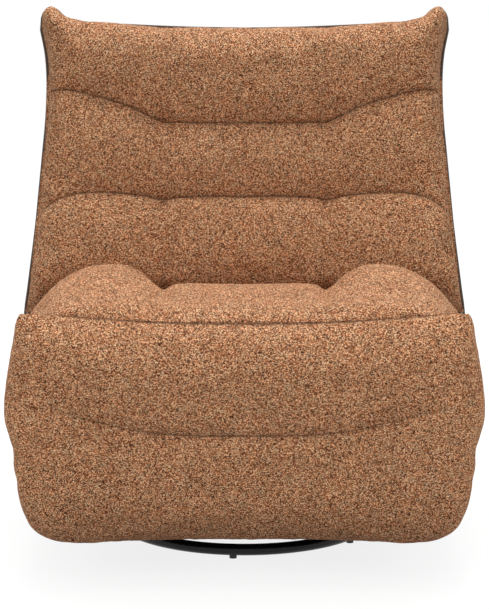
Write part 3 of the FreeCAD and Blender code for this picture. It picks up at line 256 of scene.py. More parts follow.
def turn_over(distance, reach):
    """Quarter-round share, from 0 at an edge to 1 at the given reach from it."""
    return np.sqrt(1 - (1 - np.clip(distance / reach, 0, 1)) ** 2)


def roll_share(t, flatness, free_below, free_above):
    """Share of a roll's swell along t from 0 to 1: none at a sewn edge, all of it towards a free one."""
    swollen = (1 - np.abs(2 * t - 1) ** flatness) ** ROLL_FULLNESS
    if free_below:
        swollen = np.where(t < 0.5, 1, swollen)
    if free_above:
        swollen = np.where(t > 0.5, 1, swollen)
    return swollen


def roll_thickness(t, full, below, above, swollen):
    """Thickness of a roll along t, between the thicknesses of its two edges."""
    base = below + (above - below) * t
    return base + (full - base) * swollen


def bump(offset, width):
    """A soft hump of height 1 about offset 0."""
    return np.exp(-(offset / width) ** 2)


def even_steps(places, first, second, step=GRID_STEP):
    """Places that cut the profile (first, second) into equal steps."""
    run = np.concatenate([[0], np.cumsum(np.hypot(np.diff(first), np.diff(second)))])
    count = max(2, round(run[-1] / step))
    return np.interp(np.linspace(0, run[-1], count + 1), run, places)


def across_steps(half_width, thickness, reach):
    """Places from -1 to 1 across a cushion, close together where its sides turn over."""
    places = np.linspace(-1, 1, FINE_STEPS)
    side = turn_over((1 - np.abs(places)) * half_width, reach)
    return even_steps(places, places * half_width, thickness * side)


def along_steps(run, thickness, first_turn, last_turn):
    """Places from 0 to 1 along a run, close together where its two ends turn over."""
    fine = np.linspace(0, 1, FINE_STEPS)
    ends = thickness * turn_over(fine * run, first_turn) * turn_over((1 - fine) * run, last_turn)
    return even_steps(fine, fine * run, ends)


def up_the_back(x, rise, depth):
    """World points from places on the leaning back."""
    y = HINGE_Y + depth * math.cos(BACK_LEAN) + rise * math.sin(BACK_LEAN)
    z = HINGE_Z - depth * math.sin(BACK_LEAN) + rise * math.cos(BACK_LEAN)
    return np.stack([x, y, z], axis=-1)


def grid_faces(rows, columns, start=0, turned=False):
    """Quads over a grid of points numbered row by row."""
    index = start + np.arange(rows * columns).reshape(rows, columns)
    corners = [index[:-1, :-1], index[:-1, 1:], index[1:, 1:], index[1:, :-1]]
    if turned:
        corners.reverse()
    return np.stack(corners, axis=-1).reshape(-1, 4).tolist()


def rim_of(rows, columns):
    """Point numbers round the edge of a grid."""
    index = np.arange(rows * columns).reshape(rows, columns)
    return np.concatenate([index[0, :-1], index[:-1, -1], index[-1, :0:-1], index[:0:-1, 0]])


def mesh_object(name, points, faces):
    """A smooth-shaded mesh object in the scene."""
    mesh = bpy.data.meshes.new(name)
    mesh.from_pydata(np.reshape(points, (-1, 3)).tolist(), [], faces)
    mesh.polygons.foreach_set("use_smooth", [True] * len(mesh.polygons))
    obj = bpy.data.objects.new(name, mesh)
    bpy.context.collection.objects.link(obj)
    return obj


def points_of(mesh):
    """A mesh's points as an array."""
    flat = np.empty(len(mesh.vertices) * 3)
    mesh.vertices.foreach_get("co", flat)
    return flat.reshape(-1, 3)


def swell(outer, held, pressure, cap):
    """The outer grid after cloth simulation under pressure, with its sewn points held."""
    rows, columns = held.shape
    trial = mesh_object("cloth_trial", outer, grid_faces(rows, columns))
    sewn = trial.vertex_groups.new(name="sewn")
    for number, weight in enumerate(held.ravel()):
        if weight > 0:
            sewn.add([number], float(weight), "REPLACE")
    cloth = trial.modifiers.new("stuffing", "CLOTH")
    cloth.settings.quality = 4
    cloth.settings.mass = 0.25
    cloth.settings.tension_stiffness = 18
    cloth.settings.compression_stiffness = 12
    cloth.settings.shear_stiffness = 6
    cloth.settings.bending_stiffness = 0.4
    cloth.settings.shrink_min = -0.012
    cloth.settings.use_pressure = True
    cloth.settings.uniform_pressure_force = pressure
    cloth.settings.vertex_group_mass = sewn.name
    cloth.settings.effector_weights.gravity = 0
    cloth.collision_settings.use_collision = False
    cloth.point_cache.frame_start = 1
    cloth.point_cache.frame_end = CLOTH_FRAMES
    for step in range(1, CLOTH_FRAMES + 1):
        bpy.context.scene.frame_set(step)
    evaluated = trial.evaluated_get(bpy.context.evaluated_depsgraph_get())
    settled = points_of(evaluated.data).reshape(outer.shape)
    bpy.context.scene.frame_set(1)
    mesh = trial.data
    bpy.data.objects.remove(trial)
    bpy.data.meshes.remove(mesh)
    move = settled - outer
    length = np.linalg.norm(move, axis=-1, keepdims=True)
    return outer + move * np.minimum(1, cap / np.maximum(length, cap * LEAST_MOVE))


def rim_held(rows, columns):
    """Weights that hold a grid's edge."""
    held = np.zeros((rows, columns))
    held[[0, -1], :] = 1
    held[:, [0, -1]] = 1
    return held


def close_up(name, outer, inner, seam):
    """A closed, subdivided piece from an outer and an inner grid, with its seam lines as an attribute, which the
    cloth's material darkens as painted shade.
    """
    rows, columns = seam.shape
    count = rows * columns
    faces = grid_faces(rows, columns) + grid_faces(rows, columns, count, turned=True)
    rim = rim_of(rows, columns)
    for here, there in zip(rim, np.roll(rim, -1)):
        faces.append([int(there), int(here), int(here + count), int(there + count)])
    obj = mesh_object(name, np.concatenate([outer.reshape(-1, 3), inner.reshape(-1, 3)]), faces)
    sewn = obj.data.attributes.new("seam", "FLOAT", "POINT")
    sewn.data.foreach_set("value", np.concatenate([seam.ravel(), np.zeros(count)]))
    solid = bmesh.new()
    solid.from_mesh(obj.data)
    bmesh.ops.recalc_face_normals(solid, faces=solid.faces)
    solid.to_mesh(obj.data)
    solid.free()
    finer = obj.modifiers.new("finer", "SUBSURF")
    finer.levels = finer.render_levels = 1
    done = bpy.data.meshes.new_from_object(obj.evaluated_get(bpy.context.evaluated_depsgraph_get()))
    coarse = obj.data
    obj.modifiers.clear()
    obj.data = done
    bpy.data.meshes.remove(coarse)
    done.name = name
    return obj


def upholster(obj, body, nodes, material):
    """Finish a stuffed piece: its cloth, the body it rides on and the solids it stands for."""
    obj.data.materials.clear()
    obj.data.materials.append(material)
    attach(obj, body)
    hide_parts(*nodes)


def pull_in(grid, away, seam, depth):
    """Draw the sewn lines of a grid inwards, against the direction it swells in."""
    return grid - seam[..., None] * depth * np.asarray(away)


def back_rolls(across, edges):
    """Rise, thickness and seam lines of the back's rolls, as grids with a row of points along each seam."""
    groove = 1 - GROOVE_FADE * np.abs(across) ** GROOVE_POWER
    sewn = [full - (full - thin) * groove for full, thin in zip(BACK_FULL, SEAM_THICKNESS)]
    sewn = [np.full_like(across, BACK_FULL[0]), *sewn, np.full_like(across, BACK_FULL[-1])]
    fine = np.linspace(0, 1, FINE_STEPS)
    middle = len(across) // 2
    last = len(BACK_FULL) - 1
    rises, thicknesses, seams = [], [], []
    for part, full in enumerate(BACK_FULL):
        low, high = edges[part], edges[part + 1]
        below, above = sewn[part], sewn[part + 1]
        free = (part == 0, part == last)
        rise = low[middle] + (high[middle] - low[middle]) * fine
        over = (turn_over(edges[-1][middle] - rise, BACK_TOP_REACH)
                * turn_over(rise - BACK_BOTTOM, BACK_FOOT_REACH))
        swollen = roll_share(fine, ROLL_FLATNESS, *free)
        thickness = roll_thickness(fine, full, below[middle], above[middle], swollen)
        t = even_steps(fine, rise, thickness * over)
        t = t[:, None] if part == 0 else t[1:, None]
        rises.append(low + (high - low) * t)
        thicknesses.append(roll_thickness(t, full, below, above, roll_share(t, ROLL_FLATNESS, *free)))
        line = np.zeros_like(rises[-1])
        if part < last:
            line[-1] = 1
        seams.append(line)
    return np.concatenate(rises), np.concatenate(thicknesses), np.concatenate(seams)


def make_back_cushion(material):
    """The back's three stuffed rolls, with ears at the top corners."""
    across = across_steps(EAR_HALF_WIDTH, BACK_FULL[1], BACK_SIDE_REACH)
    share = np.abs(across)
    edges = [np.full_like(across, BACK_BOTTOM), smooth(LOWER_SEAM, share * LOWER_SEAM_END),
             smooth(UPPER_SEAM, share * UPPER_SEAM_END), smooth(BACK_TOP, share * EAR_HALF_WIDTH)]
    bottom, lower_seam, upper_seam, top = edges
    rise, thickness, seam = back_rolls(across, edges)
    half = smooth(BACK_WIDTH, rise)
    x = across * half
    tuft = bump(np.abs(x) - TUFT_X, TUFT_WIDTH)
    near_seam = bump(rise - lower_seam, TUFT_SEAM_REACH) + bump(rise - upper_seam, TUFT_SEAM_REACH)
    crease = bump(np.abs(x) - CREASE_X, CREASE_WIDTH)
    thickness = thickness - TUFT_DEPTH * tuft - TUFT_SEAM_DEPTH * tuft * near_seam - CREASE_DEPTH * crease
    over = (turn_over((1 - share) * half, BACK_SIDE_REACH) * turn_over(top - rise, BACK_TOP_REACH)
            * turn_over(rise - bottom, BACK_FOOT_REACH))
    outer = up_the_back(x, rise, BACK_RIM - thickness * over)
    inner = up_the_back(x, rise, np.full_like(x, BACK_LINING))
    held = np.maximum(rim_held(*seam.shape), seam)
    outer = swell(outer, held, BACK_PRESSURE, BACK_SWELL)
    forward = ((HINGE_Y - outer[..., 1]) * math.cos(BACK_LEAN)
               + (outer[..., 2] - HINGE_Z) * math.sin(BACK_LEAN))
    reach = half - BACK_EDGE - BACK_TUCK * np.clip(forward, 0, None)
    outer[..., 0] = np.clip(outer[..., 0], -reach, reach)
    outer = pull_in(outer, -DEPTH_WAY, seam * over, BACK_SEAM_PULL)
    obj = close_up("back_cushion_cover", outer, inner, seam)
    upholster(obj, "back", ["back_cushion"], material=material)


def make_shell(material):
    """The padded cover round the sides, the top and the rear of the back frame."""
    corner_share = SHELL_CORNER / SHELL_REAR
    wall = np.linspace(0, 1 - corner_share, SHELL_WALL_POINTS)
    turn = np.linspace(0, math.pi / 2, SHELL_CORNER_POINTS + 1)[1:]
    inset = np.concatenate([np.zeros_like(wall), SHELL_CORNER * (1 - np.cos(turn))])
    level = np.concatenate([wall, 1 - corner_share * (1 - np.sin(turn))])
    flat = np.linspace(-1, 1, SHELL_REAR_POINTS + 2)[1:-1]
    side = np.concatenate([np.full_like(inset, -1), flat, np.full_like(inset, 1)])
    inset = np.concatenate([inset, np.full_like(flat, SHELL_CORNER), inset[::-1]])
    level = np.concatenate([level, np.ones_like(flat), level[::-1]])
    fine = np.linspace(0, 1, FINE_STEPS)
    ends = (SHELL_REAR * turn_over((1 - fine) * SHELL_TOP, SHELL_TOP_RADIUS)
            * turn_over(fine * SHELL_TOP, SHELL_FOOT_TURN))
    t = even_steps(fine, fine * SHELL_TOP, ends, SHELL_STEP)
    top = SHELL_TOP - SHELL_TOP_DROP * np.abs(side) ** SHELL_TOP_POWER
    rise = SHELL_BOTTOM + (top - SHELL_BOTTOM) * t[:, None]
    low_corner = SHELL_FOOT_RADIUS - np.clip(rise - SHELL_BOTTOM, 0, SHELL_FOOT_RADIUS)
    half = np.maximum(smooth(BACK_WIDTH, rise) - SHELL_INSET, SHELL_WAIST)
    half = half - SHELL_FOOT_RADIUS + np.sqrt(SHELL_FOOT_RADIUS ** 2 - low_corner ** 2)
    x = side * (half - inset)
    front = smooth(SHELL_FRONT, rise)
    over = turn_over(top - rise, SHELL_TOP_RADIUS) * turn_over(rise - SHELL_BOTTOM, SHELL_FOOT_TURN)
    over = np.maximum(over, SHELL_EDGE_SHARE)
    outer = up_the_back(x, rise, front + (SHELL_REAR - front) * level * over)
    inner = up_the_back(x * LINING_SHARE, rise, front)
    seam = np.zeros_like(x)
    seam_column = len(wall) + len(turn) + SHELL_SEAM_COLUMN
    seam[:, [seam_column, len(side) - 1 - seam_column]] = 1
    held = np.maximum(rim_held(*seam.shape), seam)
    outer = swell(outer[:, ::-1], held, SHELL_PRESSURE, SHELL_SWELL)[:, ::-1]
    outer[..., 0] = np.clip(outer[..., 0], -half, half)
    outer = pull_in(outer, DEPTH_WAY, seam * over, SHELL_SEAM_PULL)
    obj = close_up("back_shell_cover", outer, inner, seam)
    nodes = ["rear_panel", "left_side_bolster", "right_side_bolster", "top_padding"]
    upholster(obj, "back", nodes, material=material)


def make_seat_cushion(material):
    """The seat, with a puff at each side and two sewn tufts at the rear."""
    across = across_steps(SEAT_GRID_WIDTH, SEAT_GRID_SIDE, SEAT_GRID_TURN)
    share = np.abs(across)
    run = SEAT_REAR - SEAT_FRONT
    t = along_steps(run, SEAT_GRID_RISE, SEAT_FRONT_TURN, SEAT_GRID_REAR)
    y = (SEAT_FRONT + run * t)[:, None] + np.zeros_like(across)
    half = smooth(SEAT_WIDTH, y)
    x = across * half
    beside = np.abs(x) - NOTCH_X
    tuft = bump(beside, NOTCH_WIDTH) * bump(y - NOTCH_Y, NOTCH_LENGTH)
    valley = bump(beside, VALLEY_WIDTH) * np.clip((y + VALLEY_LENGTH) / VALLEY_LENGTH, 0, 1) ** VALLEY_POWER
    corner_lift = CORNER_LIFT * share ** CORNER_POWER * np.clip((CORNER_FROM - y) / CORNER_RUN, 0, 1)
    crown = smooth(SEAT_CROWN, y)
    flat_rise = (crown + corner_lift - SEAT_SIDE_SEAM) * turn_over((1 - share) * half, SEAT_SIDE_TURN)
    flat = SEAT_SIDE_SEAM + flat_rise
    domed = crown + smooth(PUFF_ACROSS, np.abs(x)) - NOTCH_DEPTH * tuft - VALLEY_DEPTH * valley
    top = np.maximum(flat + (domed - flat) * smooth(PUFF_SHARE, y), SEAT_SIDE_SEAM)
    over = turn_over(y - SEAT_FRONT, SEAT_FRONT_TURN) * turn_over(SEAT_REAR - y, SEAT_REAR_TURN)
    outer = np.stack([x, y, SEAT_SIDE_SEAM + (top - SEAT_SIDE_SEAM) * over], axis=-1)
    lining_y = np.clip(y, SEAT_FRONT + SEAT_LINING_INSET, SEAT_REAR - SEAT_LINING_INSET)
    inner = np.stack([x * SEAT_LINING_SHARE, lining_y, np.full_like(x, SEAT_BASE)], axis=-1)
    held = rim_held(*x.shape)
    held[tuft > NOTCH_HELD] = 1
    outer = swell(outer, held, SEAT_PRESSURE, SEAT_SWELL)
    obj = close_up("seat_cushion_cover", outer, inner, np.zeros_like(x))
    upholster(obj, "seat", ["seat_cushion"], material=material)


def pad_rolls(across, bottom, top):
    """Height, thickness and seam line of the front pad's two rolls, as grids with a row along the seam."""
    share = np.abs(across)
    seam_at = smooth(PAD_SEAM, share * PAD_HALF_WIDTH)
    tuft = 1 + PAD_TUFT_EXTRA * bump(share * PAD_HALF_WIDTH - TUFT_X, PAD_TUFT_WIDTH)
    sewn = PAD_FULL - (PAD_FULL - PAD_SEAM_THICKNESS) * (1 - share ** CHANNEL_POWER) * tuft
    fine = np.linspace(0, 1, FINE_STEPS)
    middle = len(across) // 2
    heights, thicknesses, seams = [], [], []
    for part, (low, high) in enumerate([(bottom, seam_at), (seam_at, top)]):
        rolled = roll_share(fine, PAD_FLATNESS, part == 0, part == 1)
        rise = low[middle] + (high - low)[middle] * fine
        thick = (PAD_FULL * turn_over(rise - bottom[middle], PAD_FOOT_REACH)
                 * turn_over(top[middle] - rise, PAD_HEAD_REACH))
        t = even_steps(fine, rise, thick * (1 - PAD_ROLL_WEIGHT + PAD_ROLL_WEIGHT * rolled))
        t = t if part == 0 else t[1:]
        heights.append(low + (high - low) * t[:, None])
        thicknesses.append(sewn + (PAD_FULL - sewn) * np.interp(t, fine, rolled)[:, None])
        line = np.zeros_like(heights[-1])
        if part == 0:
            line[-1] = 1 - share ** CHANNEL_LINE_POWER
        seams.append(line)
    return np.concatenate(heights), np.concatenate(thicknesses), np.concatenate(seams)


def make_front_pad(material):
    """The footrest's pad, which hangs down the front with one sewn channel across it."""
    across = across_steps(PAD_HALF_WIDTH, PAD_FULL, PAD_SIDE_REACH)
    share = np.abs(across)
    bottom = smooth(PAD_FOOT, share * PAD_HALF_WIDTH)
    top = smooth(PAD_TOP, share * PAD_TOP_END)
    z, thickness, seam = pad_rolls(across, bottom, top)
    half = smooth(PAD_WIDTH, z)
    over = (turn_over((1 - share) * half, PAD_SIDE_REACH) * turn_over(z - bottom, PAD_FOOT_REACH)
            * turn_over(top - z, PAD_HEAD_REACH))
    taper = np.clip((z - PAD_TAPER_FROM) / (PAD_TAPER_TO - PAD_TAPER_FROM), 0, 1)
    thickness = thickness * (1 - PAD_TAPER * taper)
    outer = np.stack([across * half, PAD_RIM_Y - thickness * over, z], axis=-1)
    lip = outer[-1] + np.array([0, 0, -PAD_LIP])
    outer = np.concatenate([outer, lip[None]])
    half = np.concatenate([half, half[-1:]])
    seam = np.concatenate([seam, np.zeros((1, len(across)))])
    step = np.clip((outer[..., 2] - PAD_STEP_Z) / PAD_STEP_RUN, 0, 1)
    lining = PAD_LINING_Y + (PAD_RIM_Y - PAD_LINING_Y) * step
    inner = np.stack([outer[..., 0] * LINING_SHARE, lining, outer[..., 2]], axis=-1)
    inner[-2:, :, 2] -= PAD_LINING_DROP
    held = np.maximum(rim_held(*seam.shape), seam > CHANNEL_HELD)
    held[-2] = 1
    outer = swell(outer, held, PAD_PRESSURE, PAD_SWELL)
    outer[..., 0] = np.clip(outer[..., 0], -half, half)
    outer = pull_in(outer, (0, -1, 0), seam, PAD_SEAM_PULL)
    # Painted shade: the pad's top rows, where it tucks under the seat, are marked so that the cloth's material
    # darkens them.
    seam[-HEM_SHADE_ROWS:] = 1 - share ** HEM_SHADE_POWER
    obj = close_up("front_pad_cover", outer, inner, seam)
    upholster(obj, "footrest", ["footrest_pad"], material=material)


def make_side_panel(side, name, material):
    """One padded side, curled under at its foot."""
    edge = np.linspace(0, math.pi / 2, PANEL_EDGE_POINTS)
    down = np.linspace(1, 0, PANEL_FACE_POINTS + 1)[1:]
    turn = np.linspace(0, math.pi / 2, PANEL_CURL_POINTS + 1)[1:]
    seam_row = len(edge) + len(down)
    edge_top = PANEL_TOP - PANEL_EDGE_RADIUS
    face_x = np.concatenate([PANEL_FACE - PANEL_EDGE_RADIUS + PANEL_EDGE_RADIUS * np.sin(edge),
                             np.full_like(down, PANEL_FACE), CURL_X + CURL_OUTER * np.cos(turn)])
    face_z = np.concatenate([edge_top + PANEL_EDGE_RADIUS * np.cos(edge), CURL_Z + (edge_top - CURL_Z) * down,
                             CURL_Z - CURL_OUTER * np.sin(turn)])
    wall_x = np.concatenate([np.full(seam_row, PANEL_LINING), CURL_X + CURL_INNER * np.cos(turn)])
    wall_z = np.concatenate([np.full_like(edge, PANEL_TOP - PANEL_LINING_DROP), face_z[len(edge):seam_row],
                             CURL_Z - CURL_INNER * np.sin(turn)])
    run = PANEL_REAR - PANEL_FRONT
    t = along_steps(run, PANEL_THICKNESS, PANEL_END_TURN, PANEL_END_TURN)
    y = PANEL_FRONT + run * t + np.zeros_like(face_x)[:, None]
    over = turn_over(y - PANEL_FRONT, PANEL_END_TURN) * turn_over(PANEL_REAR - y, PANEL_END_TURN)
    over = np.maximum(over, EDGE_SHARE)
    wall_x, wall_z = np.broadcast_to(wall_x[:, None], y.shape), np.broadcast_to(wall_z[:, None], y.shape)
    x = wall_x + (face_x[:, None] - wall_x) * over
    z = wall_z + (face_z[:, None] - wall_z) * over
    outer = np.stack([side * x, y, z], axis=-1)
    inner = np.stack([side * wall_x, y, wall_z], axis=-1)
    seam = np.zeros_like(x)
    seam[seam_row] = 1
    held = np.maximum(rim_held(*seam.shape), seam)
    outer = swell(outer[:, ::-side], held[:, ::-side], TRIM_PRESSURE, TRIM_SWELL)[:, ::-side]
    outer = pull_in(outer, (side, 0, 0), seam * over, PANEL_SEAM_PULL)
    obj = close_up(name + "_cover", outer, inner, seam)
    upholster(obj, "seat", [name], material=material)


def make_rear_apron(material):
    """The padded rear face under the back."""
    across = across_steps(APRON_HALF_WIDTH, APRON_THICKNESS, APRON_TURN)
    tall = APRON_TOP - APRON_BOTTOM
    t = along_steps(tall, APRON_THICKNESS, APRON_TURN, APRON_TURN)
    z = (APRON_BOTTOM + tall * t)[:, None] + np.zeros_like(across)
    curl = np.sqrt(np.clip((CURL_INNER - APRON_CURL_GAP) ** 2 - (CURL_Z - z) ** 2, 0, None))
    half = np.where(z < CURL_Z, CURL_X - APRON_SIDE_GAP + curl, APRON_HALF_WIDTH)
    x = across * half
    over = (turn_over((1 - np.abs(across)) * half, APRON_TURN) * turn_over(z - APRON_BOTTOM, APRON_TURN)
            * turn_over(APRON_TOP - z, APRON_TURN))
    over = np.maximum(over, EDGE_SHARE)
    outer = np.stack([x, APRON_FRONT + (APRON_REAR - APRON_FRONT) * over, z], axis=-1)
    inner = np.stack([x, np.full_like(x, APRON_FRONT), z], axis=-1)
    outer = swell(outer[:, ::-1], rim_held(*x.shape), TRIM_PRESSURE, TRIM_SWELL)[:, ::-1]
    obj = close_up("rear_apron_cover", outer, inner, np.zeros_like(x))
    upholster(obj, "seat", ["rear_apron"], material=material)


def make_sheet(name, points, material):
    """A piece of cloth between the seat and the back, with its material, baked in place."""
    obj = mesh_object(name, points, grid_faces(*points.shape[:2]))
    obj.data.materials.append(material)
    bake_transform(obj)


def make_strip(name, half_width, line, material):
    """A folded strip of cloth across the chair, by the (y, z) line of its fold."""
    line = np.array(line)
    places = np.arange(len(line))
    run = np.linspace(0, len(line) - 1, STRIP_ROWS)
    y, z = (smooth(np.stack([places, column], axis=-1), run) for column in line.T)
    x = np.linspace(-half_width, half_width, STRIP_COLUMNS)
    points = np.stack(np.broadcast_arrays(x[None, :], y[:, None], z[:, None]), axis=-1)
    make_sheet(name, points, material)


def make_bellows(name, side, material):
    """A pleated patch of cloth that closes the gap between seat and back at one side."""
    t = np.linspace(0, 1, BELLOWS_COLUMNS)
    x = BELLOWS_X - BELLOWS_PLEAT * np.cos(2 * math.pi * BELLOWS_FOLDS * t)
    z = np.linspace(PANEL_TOP + BELLOWS_GAP, BELLOWS_TOP, BELLOWS_ROWS)
    run = BELLOWS_REAR - BELLOWS_FRONT + BELLOWS_SLANT * (z - PANEL_TOP)
    y = BELLOWS_FRONT + run[:, None] * t
    points = np.stack(np.broadcast_arrays(side * x[None, :], y, z[:, None]), axis=-1)
    make_sheet(name, points,
               material)


def make_rock_springs(material):
    """The four coil springs under the seat, copied from the frame with the given material."""
    cad = frame["nodes"]["rock_springs"]
    obj = bpy.data.objects.new("rock_spring_coils", cad.data.copy())
    obj.data.transform(cad.matrix_world)
    bpy.context.collection.objects.link(obj)
    obj.data.materials.clear()
    obj.data.materials.append(material)
    heights = points_of(obj.data)[:, 2]
    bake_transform(obj)
    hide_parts(cad.name)


def make_piping(material):
    """The dark piped edge between the back cushion and the shell behind it, whose dark cord is also painted shade
    for the back's shaded side edges.
    """
    inwards = np.linspace(1, 0, PIPING_TOP_POINTS)[1:]
    share = np.concatenate([np.ones(PIPING_SIDE_POINTS), inwards])
    rise = np.concatenate([np.linspace(PIPING_FOOT, PIPING_SHOULDER, PIPING_SIDE_POINTS),
                           smooth(BACK_TOP, inwards * EAR_HALF_WIDTH) + PIPING_PROUD])
    x = share * smooth(BACK_WIDTH, rise)
    x = np.concatenate([x, -x[-2::-1]])
    rise = np.concatenate([rise, rise[-2::-1]])
    path = up_the_back(x, rise, np.maximum(smooth(SHELL_FRONT, rise) - PIPING_RADIUS, PIPING_RADIUS))
    curve = bpy.data.curves.new("back_piping", "CURVE")
    curve.dimensions = "3D"
    curve.bevel_depth = PIPING_RADIUS
    curve.bevel_resolution = 3
    spline = curve.splines.new("POLY")
    spline.points.add(len(path) - 1)
    for point, place in zip(spline.points, path):
        point.co = (*place, 1)
    obj = bpy.data.objects.new("back_piping", curve)
    bpy.context.collection.objects.link(obj)
    curve.materials.append(material)
    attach(obj, "back")


def feed(tree, socket, value):
    """Link another node's output to a socket, or set the socket to a constant."""
    if isinstance(value, bpy.types.NodeSocket):
        tree.links.new(value, socket)
    else:
        socket.default_value = value


def add(tree, kind, inputs=None, **settings):
    """A shader node with its settings, and its sockets set or linked."""
    node = tree.nodes.new(kind)
    for name, value in settings.items():
        setattr(node, name, value)
    for name, value in (inputs or {}).items():
        feed(tree, node.inputs[name], value)
    return node


def new_material(name, **sockets):
    """A material's node tree and shader, with the shader's constant values set."""
    material = bpy.data.materials.new(name)
    material.use_nodes = True
    tree = material.node_tree
    shader = next(node for node in tree.nodes if node.type == "BSDF_PRINCIPLED")
    for socket, value in sockets.items():
        shader.inputs[socket.replace("_", " ")].default_value = value
    place = add(tree, "ShaderNodeTexCoord").outputs["Object"]
    return material, tree, shader, place


def ramp(tree, value, stops):
    """A colour ramp over a value, from (place, colour) stops."""
    node = add(tree, "ShaderNodeValToRGB", {"Fac": value})
    band = node.color_ramp
    while len(band.elements) < len(stops):
        band.elements.new(0.5)
    for element, (place, colour) in zip(band.elements, stops):
        element.position = place
        element.color = (*colour, 1)
    return node.outputs["Color"]


def blend_colour(tree, first, second, share, mode="MIX"):
    """Two colours mixed."""
    node = add(tree, "ShaderNodeMix", data_type="RGBA", blend_type=mode)
    for socket, value in ((node.inputs[0], share), (node.inputs[6], first), (node.inputs[7], second)):
        feed(tree, socket, value)
    return node.outputs[2]


def sum_up(tree, first, second, operation="ADD"):
    """Arithmetic on two values."""
    node = add(tree, "ShaderNodeMath", operation=operation)
    for socket, value in zip(node.inputs, (first, second)):
        feed(tree, socket, value)
    return node.outputs[0]


def weigh(tree, first, first_share, second, second_share):
    """The sum of two values, each times its share."""
    return sum_up(tree, sum_up(tree, first, first_share, "MULTIPLY"),
                  sum_up(tree, second, second_share, "MULTIPLY"))


def relief(tree, shader, height, strength, distance):
    """Bump on a shader from a height."""
    node = add(tree, "ShaderNodeBump", {"Height": height, "Strength": strength, "Distance": distance})
    tree.links.new(node.outputs["Normal"], shader.inputs["Normal"])


def tweed_material():
    """Looped tweed cloth in rust, tan, brown and cream, with painted light and shade on its loops and painted
    shade along its seams.
    """
    material, tree, shader, place = new_material(
        "tweed", Roughness=0.95, Specular_IOR_Level=0.15, Sheen_Weight=0.08, Sheen_Roughness=0.5,
        Sheen_Tint=(0.9, 0.55, 0.36, 1))
    stretch = add(tree, "ShaderNodeMapping", {"Vector": place, "Scale": (1.0, 0.55, 1.2)}).outputs["Vector"]
    loops = add(tree, "ShaderNodeTexVoronoi", {"Vector": stretch, "Scale": 720.0, "Randomness": 0.9})
    yarn = add(tree, "ShaderNodeTexNoise", {"Vector": stretch, "Scale": 1500.0, "Detail": 1.0})
    patch = add(tree, "ShaderNodeTexNoise", {"Vector": place, "Scale": 26.0, "Detail": 4.0, "Roughness": 0.6})
    dye = add(tree, "ShaderNodeTexNoise", {"Vector": place, "Scale": 75.0, "Detail": 3.0, "Roughness": 0.6})
    rows = add(tree, "ShaderNodeTexWave", {"Vector": place, "Scale": 78.0, "Distortion": 1.6, "Detail": 2.0,
                                           "Detail Scale": 4.0}, bands_direction="Z")
    random = add(tree, "ShaderNodeSeparateColor", {"Color": loops.outputs["Color"]}).outputs["Red"]
    colour = ramp(tree, weigh(tree, random, LOOP_SHARE, yarn.outputs["Fac"], YARN_SHARE), TWEED)
    # Painted light and shade on each loop, from the distance to its edge; the other ramps are tone and weave.
    for value, stops in ((loops.outputs["Distance"], LOOP_LIGHT_AND_SHADE), (patch.outputs["Fac"], CLOTH_PATCHES),
                         (dye.outputs["Fac"], YARN_DYES), (rows.outputs["Fac"], WOVEN_ROWS)):
        colour = blend_colour(tree, colour, ramp(tree, value, stops), 1.0, "MULTIPLY")
    # Painted shade: the cloth turns towards the dark seam colour along the lines marked on the mesh.
    sewn = add(tree, "ShaderNodeAttribute", attribute_name="seam").outputs["Fac"]
    line = sum_up(tree, sum_up(tree, sewn, SEAM_SHADE_SHARPNESS, "POWER"), SEAM_SHADE_DARKNESS, "MULTIPLY")
    tree.links.new(blend_colour(tree, colour, SEAM_SHADE_COLOUR, line), shader.inputs["Base Color"])
    knots = sum_up(tree, 1.0, loops.outputs["Distance"], "SUBTRACT")
    height = sum_up(tree, knots, sum_up(tree, yarn.outputs["Fac"], YARN_RELIEF, "MULTIPLY"))
    relief(tree, shader, height, strength=0.6, distance=0.0016)
    return material


def piping_material():
    """Charcoal woven cord, dark also as painted shade for the back's shaded side edges."""
    material, tree, shader, place = new_material("charcoal_piping_and_edge_shade", Roughness=0.9, Sheen_Weight=0.2)
    twist = add(tree, "ShaderNodeTexNoise", {"Vector": place, "Scale": 900.0, "Detail": 2.0}).outputs["Fac"]
    tree.links.new(ramp(tree, twist, PIPING_AND_EDGE_SHADE), shader.inputs["Base Color"])
    relief(tree, shader, twist, strength=0.5, distance=0.0006)
    return material


def speckled_material(name, dark, light, scale, strength, depth, rough, stretch=EVEN, **sockets):
    """A hard surface with fine grain in its colour, its roughness and its relief."""
    material, tree, shader, place = new_material(name, **sockets)
    drawn = add(tree, "ShaderNodeMapping", {"Vector": place, "Scale": stretch}).outputs["Vector"]
    grain = add(tree, "ShaderNodeTexNoise",
                {"Vector": drawn, "Scale": scale, "Detail": 5.0, "Roughness": 0.6})
    cloud = add(tree, "ShaderNodeTexNoise", {"Vector": place, "Scale": 9.0, "Detail": 3.0})
    fleck = weigh(tree, grain.outputs["Fac"], GRAIN_SHARE, cloud.outputs["Fac"], CLOUD_SHARE)
    colour = ramp(tree, fleck, ((GRAIN_DARK, dark), (GRAIN_LIGHT, light)))
    tree.links.new(colour, shader.inputs["Base Color"])
    gloss = add(tree, "ShaderNodeMapRange", {"Value": fleck, "From Min": GLOSS_FROM, "From Max": GLOSS_TO,
                                             "To Min": rough[0], "To Max": rough[1]})
    tree.links.new(gloss.outputs["Result"], shader.inputs["Roughness"])
    relief(tree, shader, grain.outputs["Fac"], strength, depth)
    return material


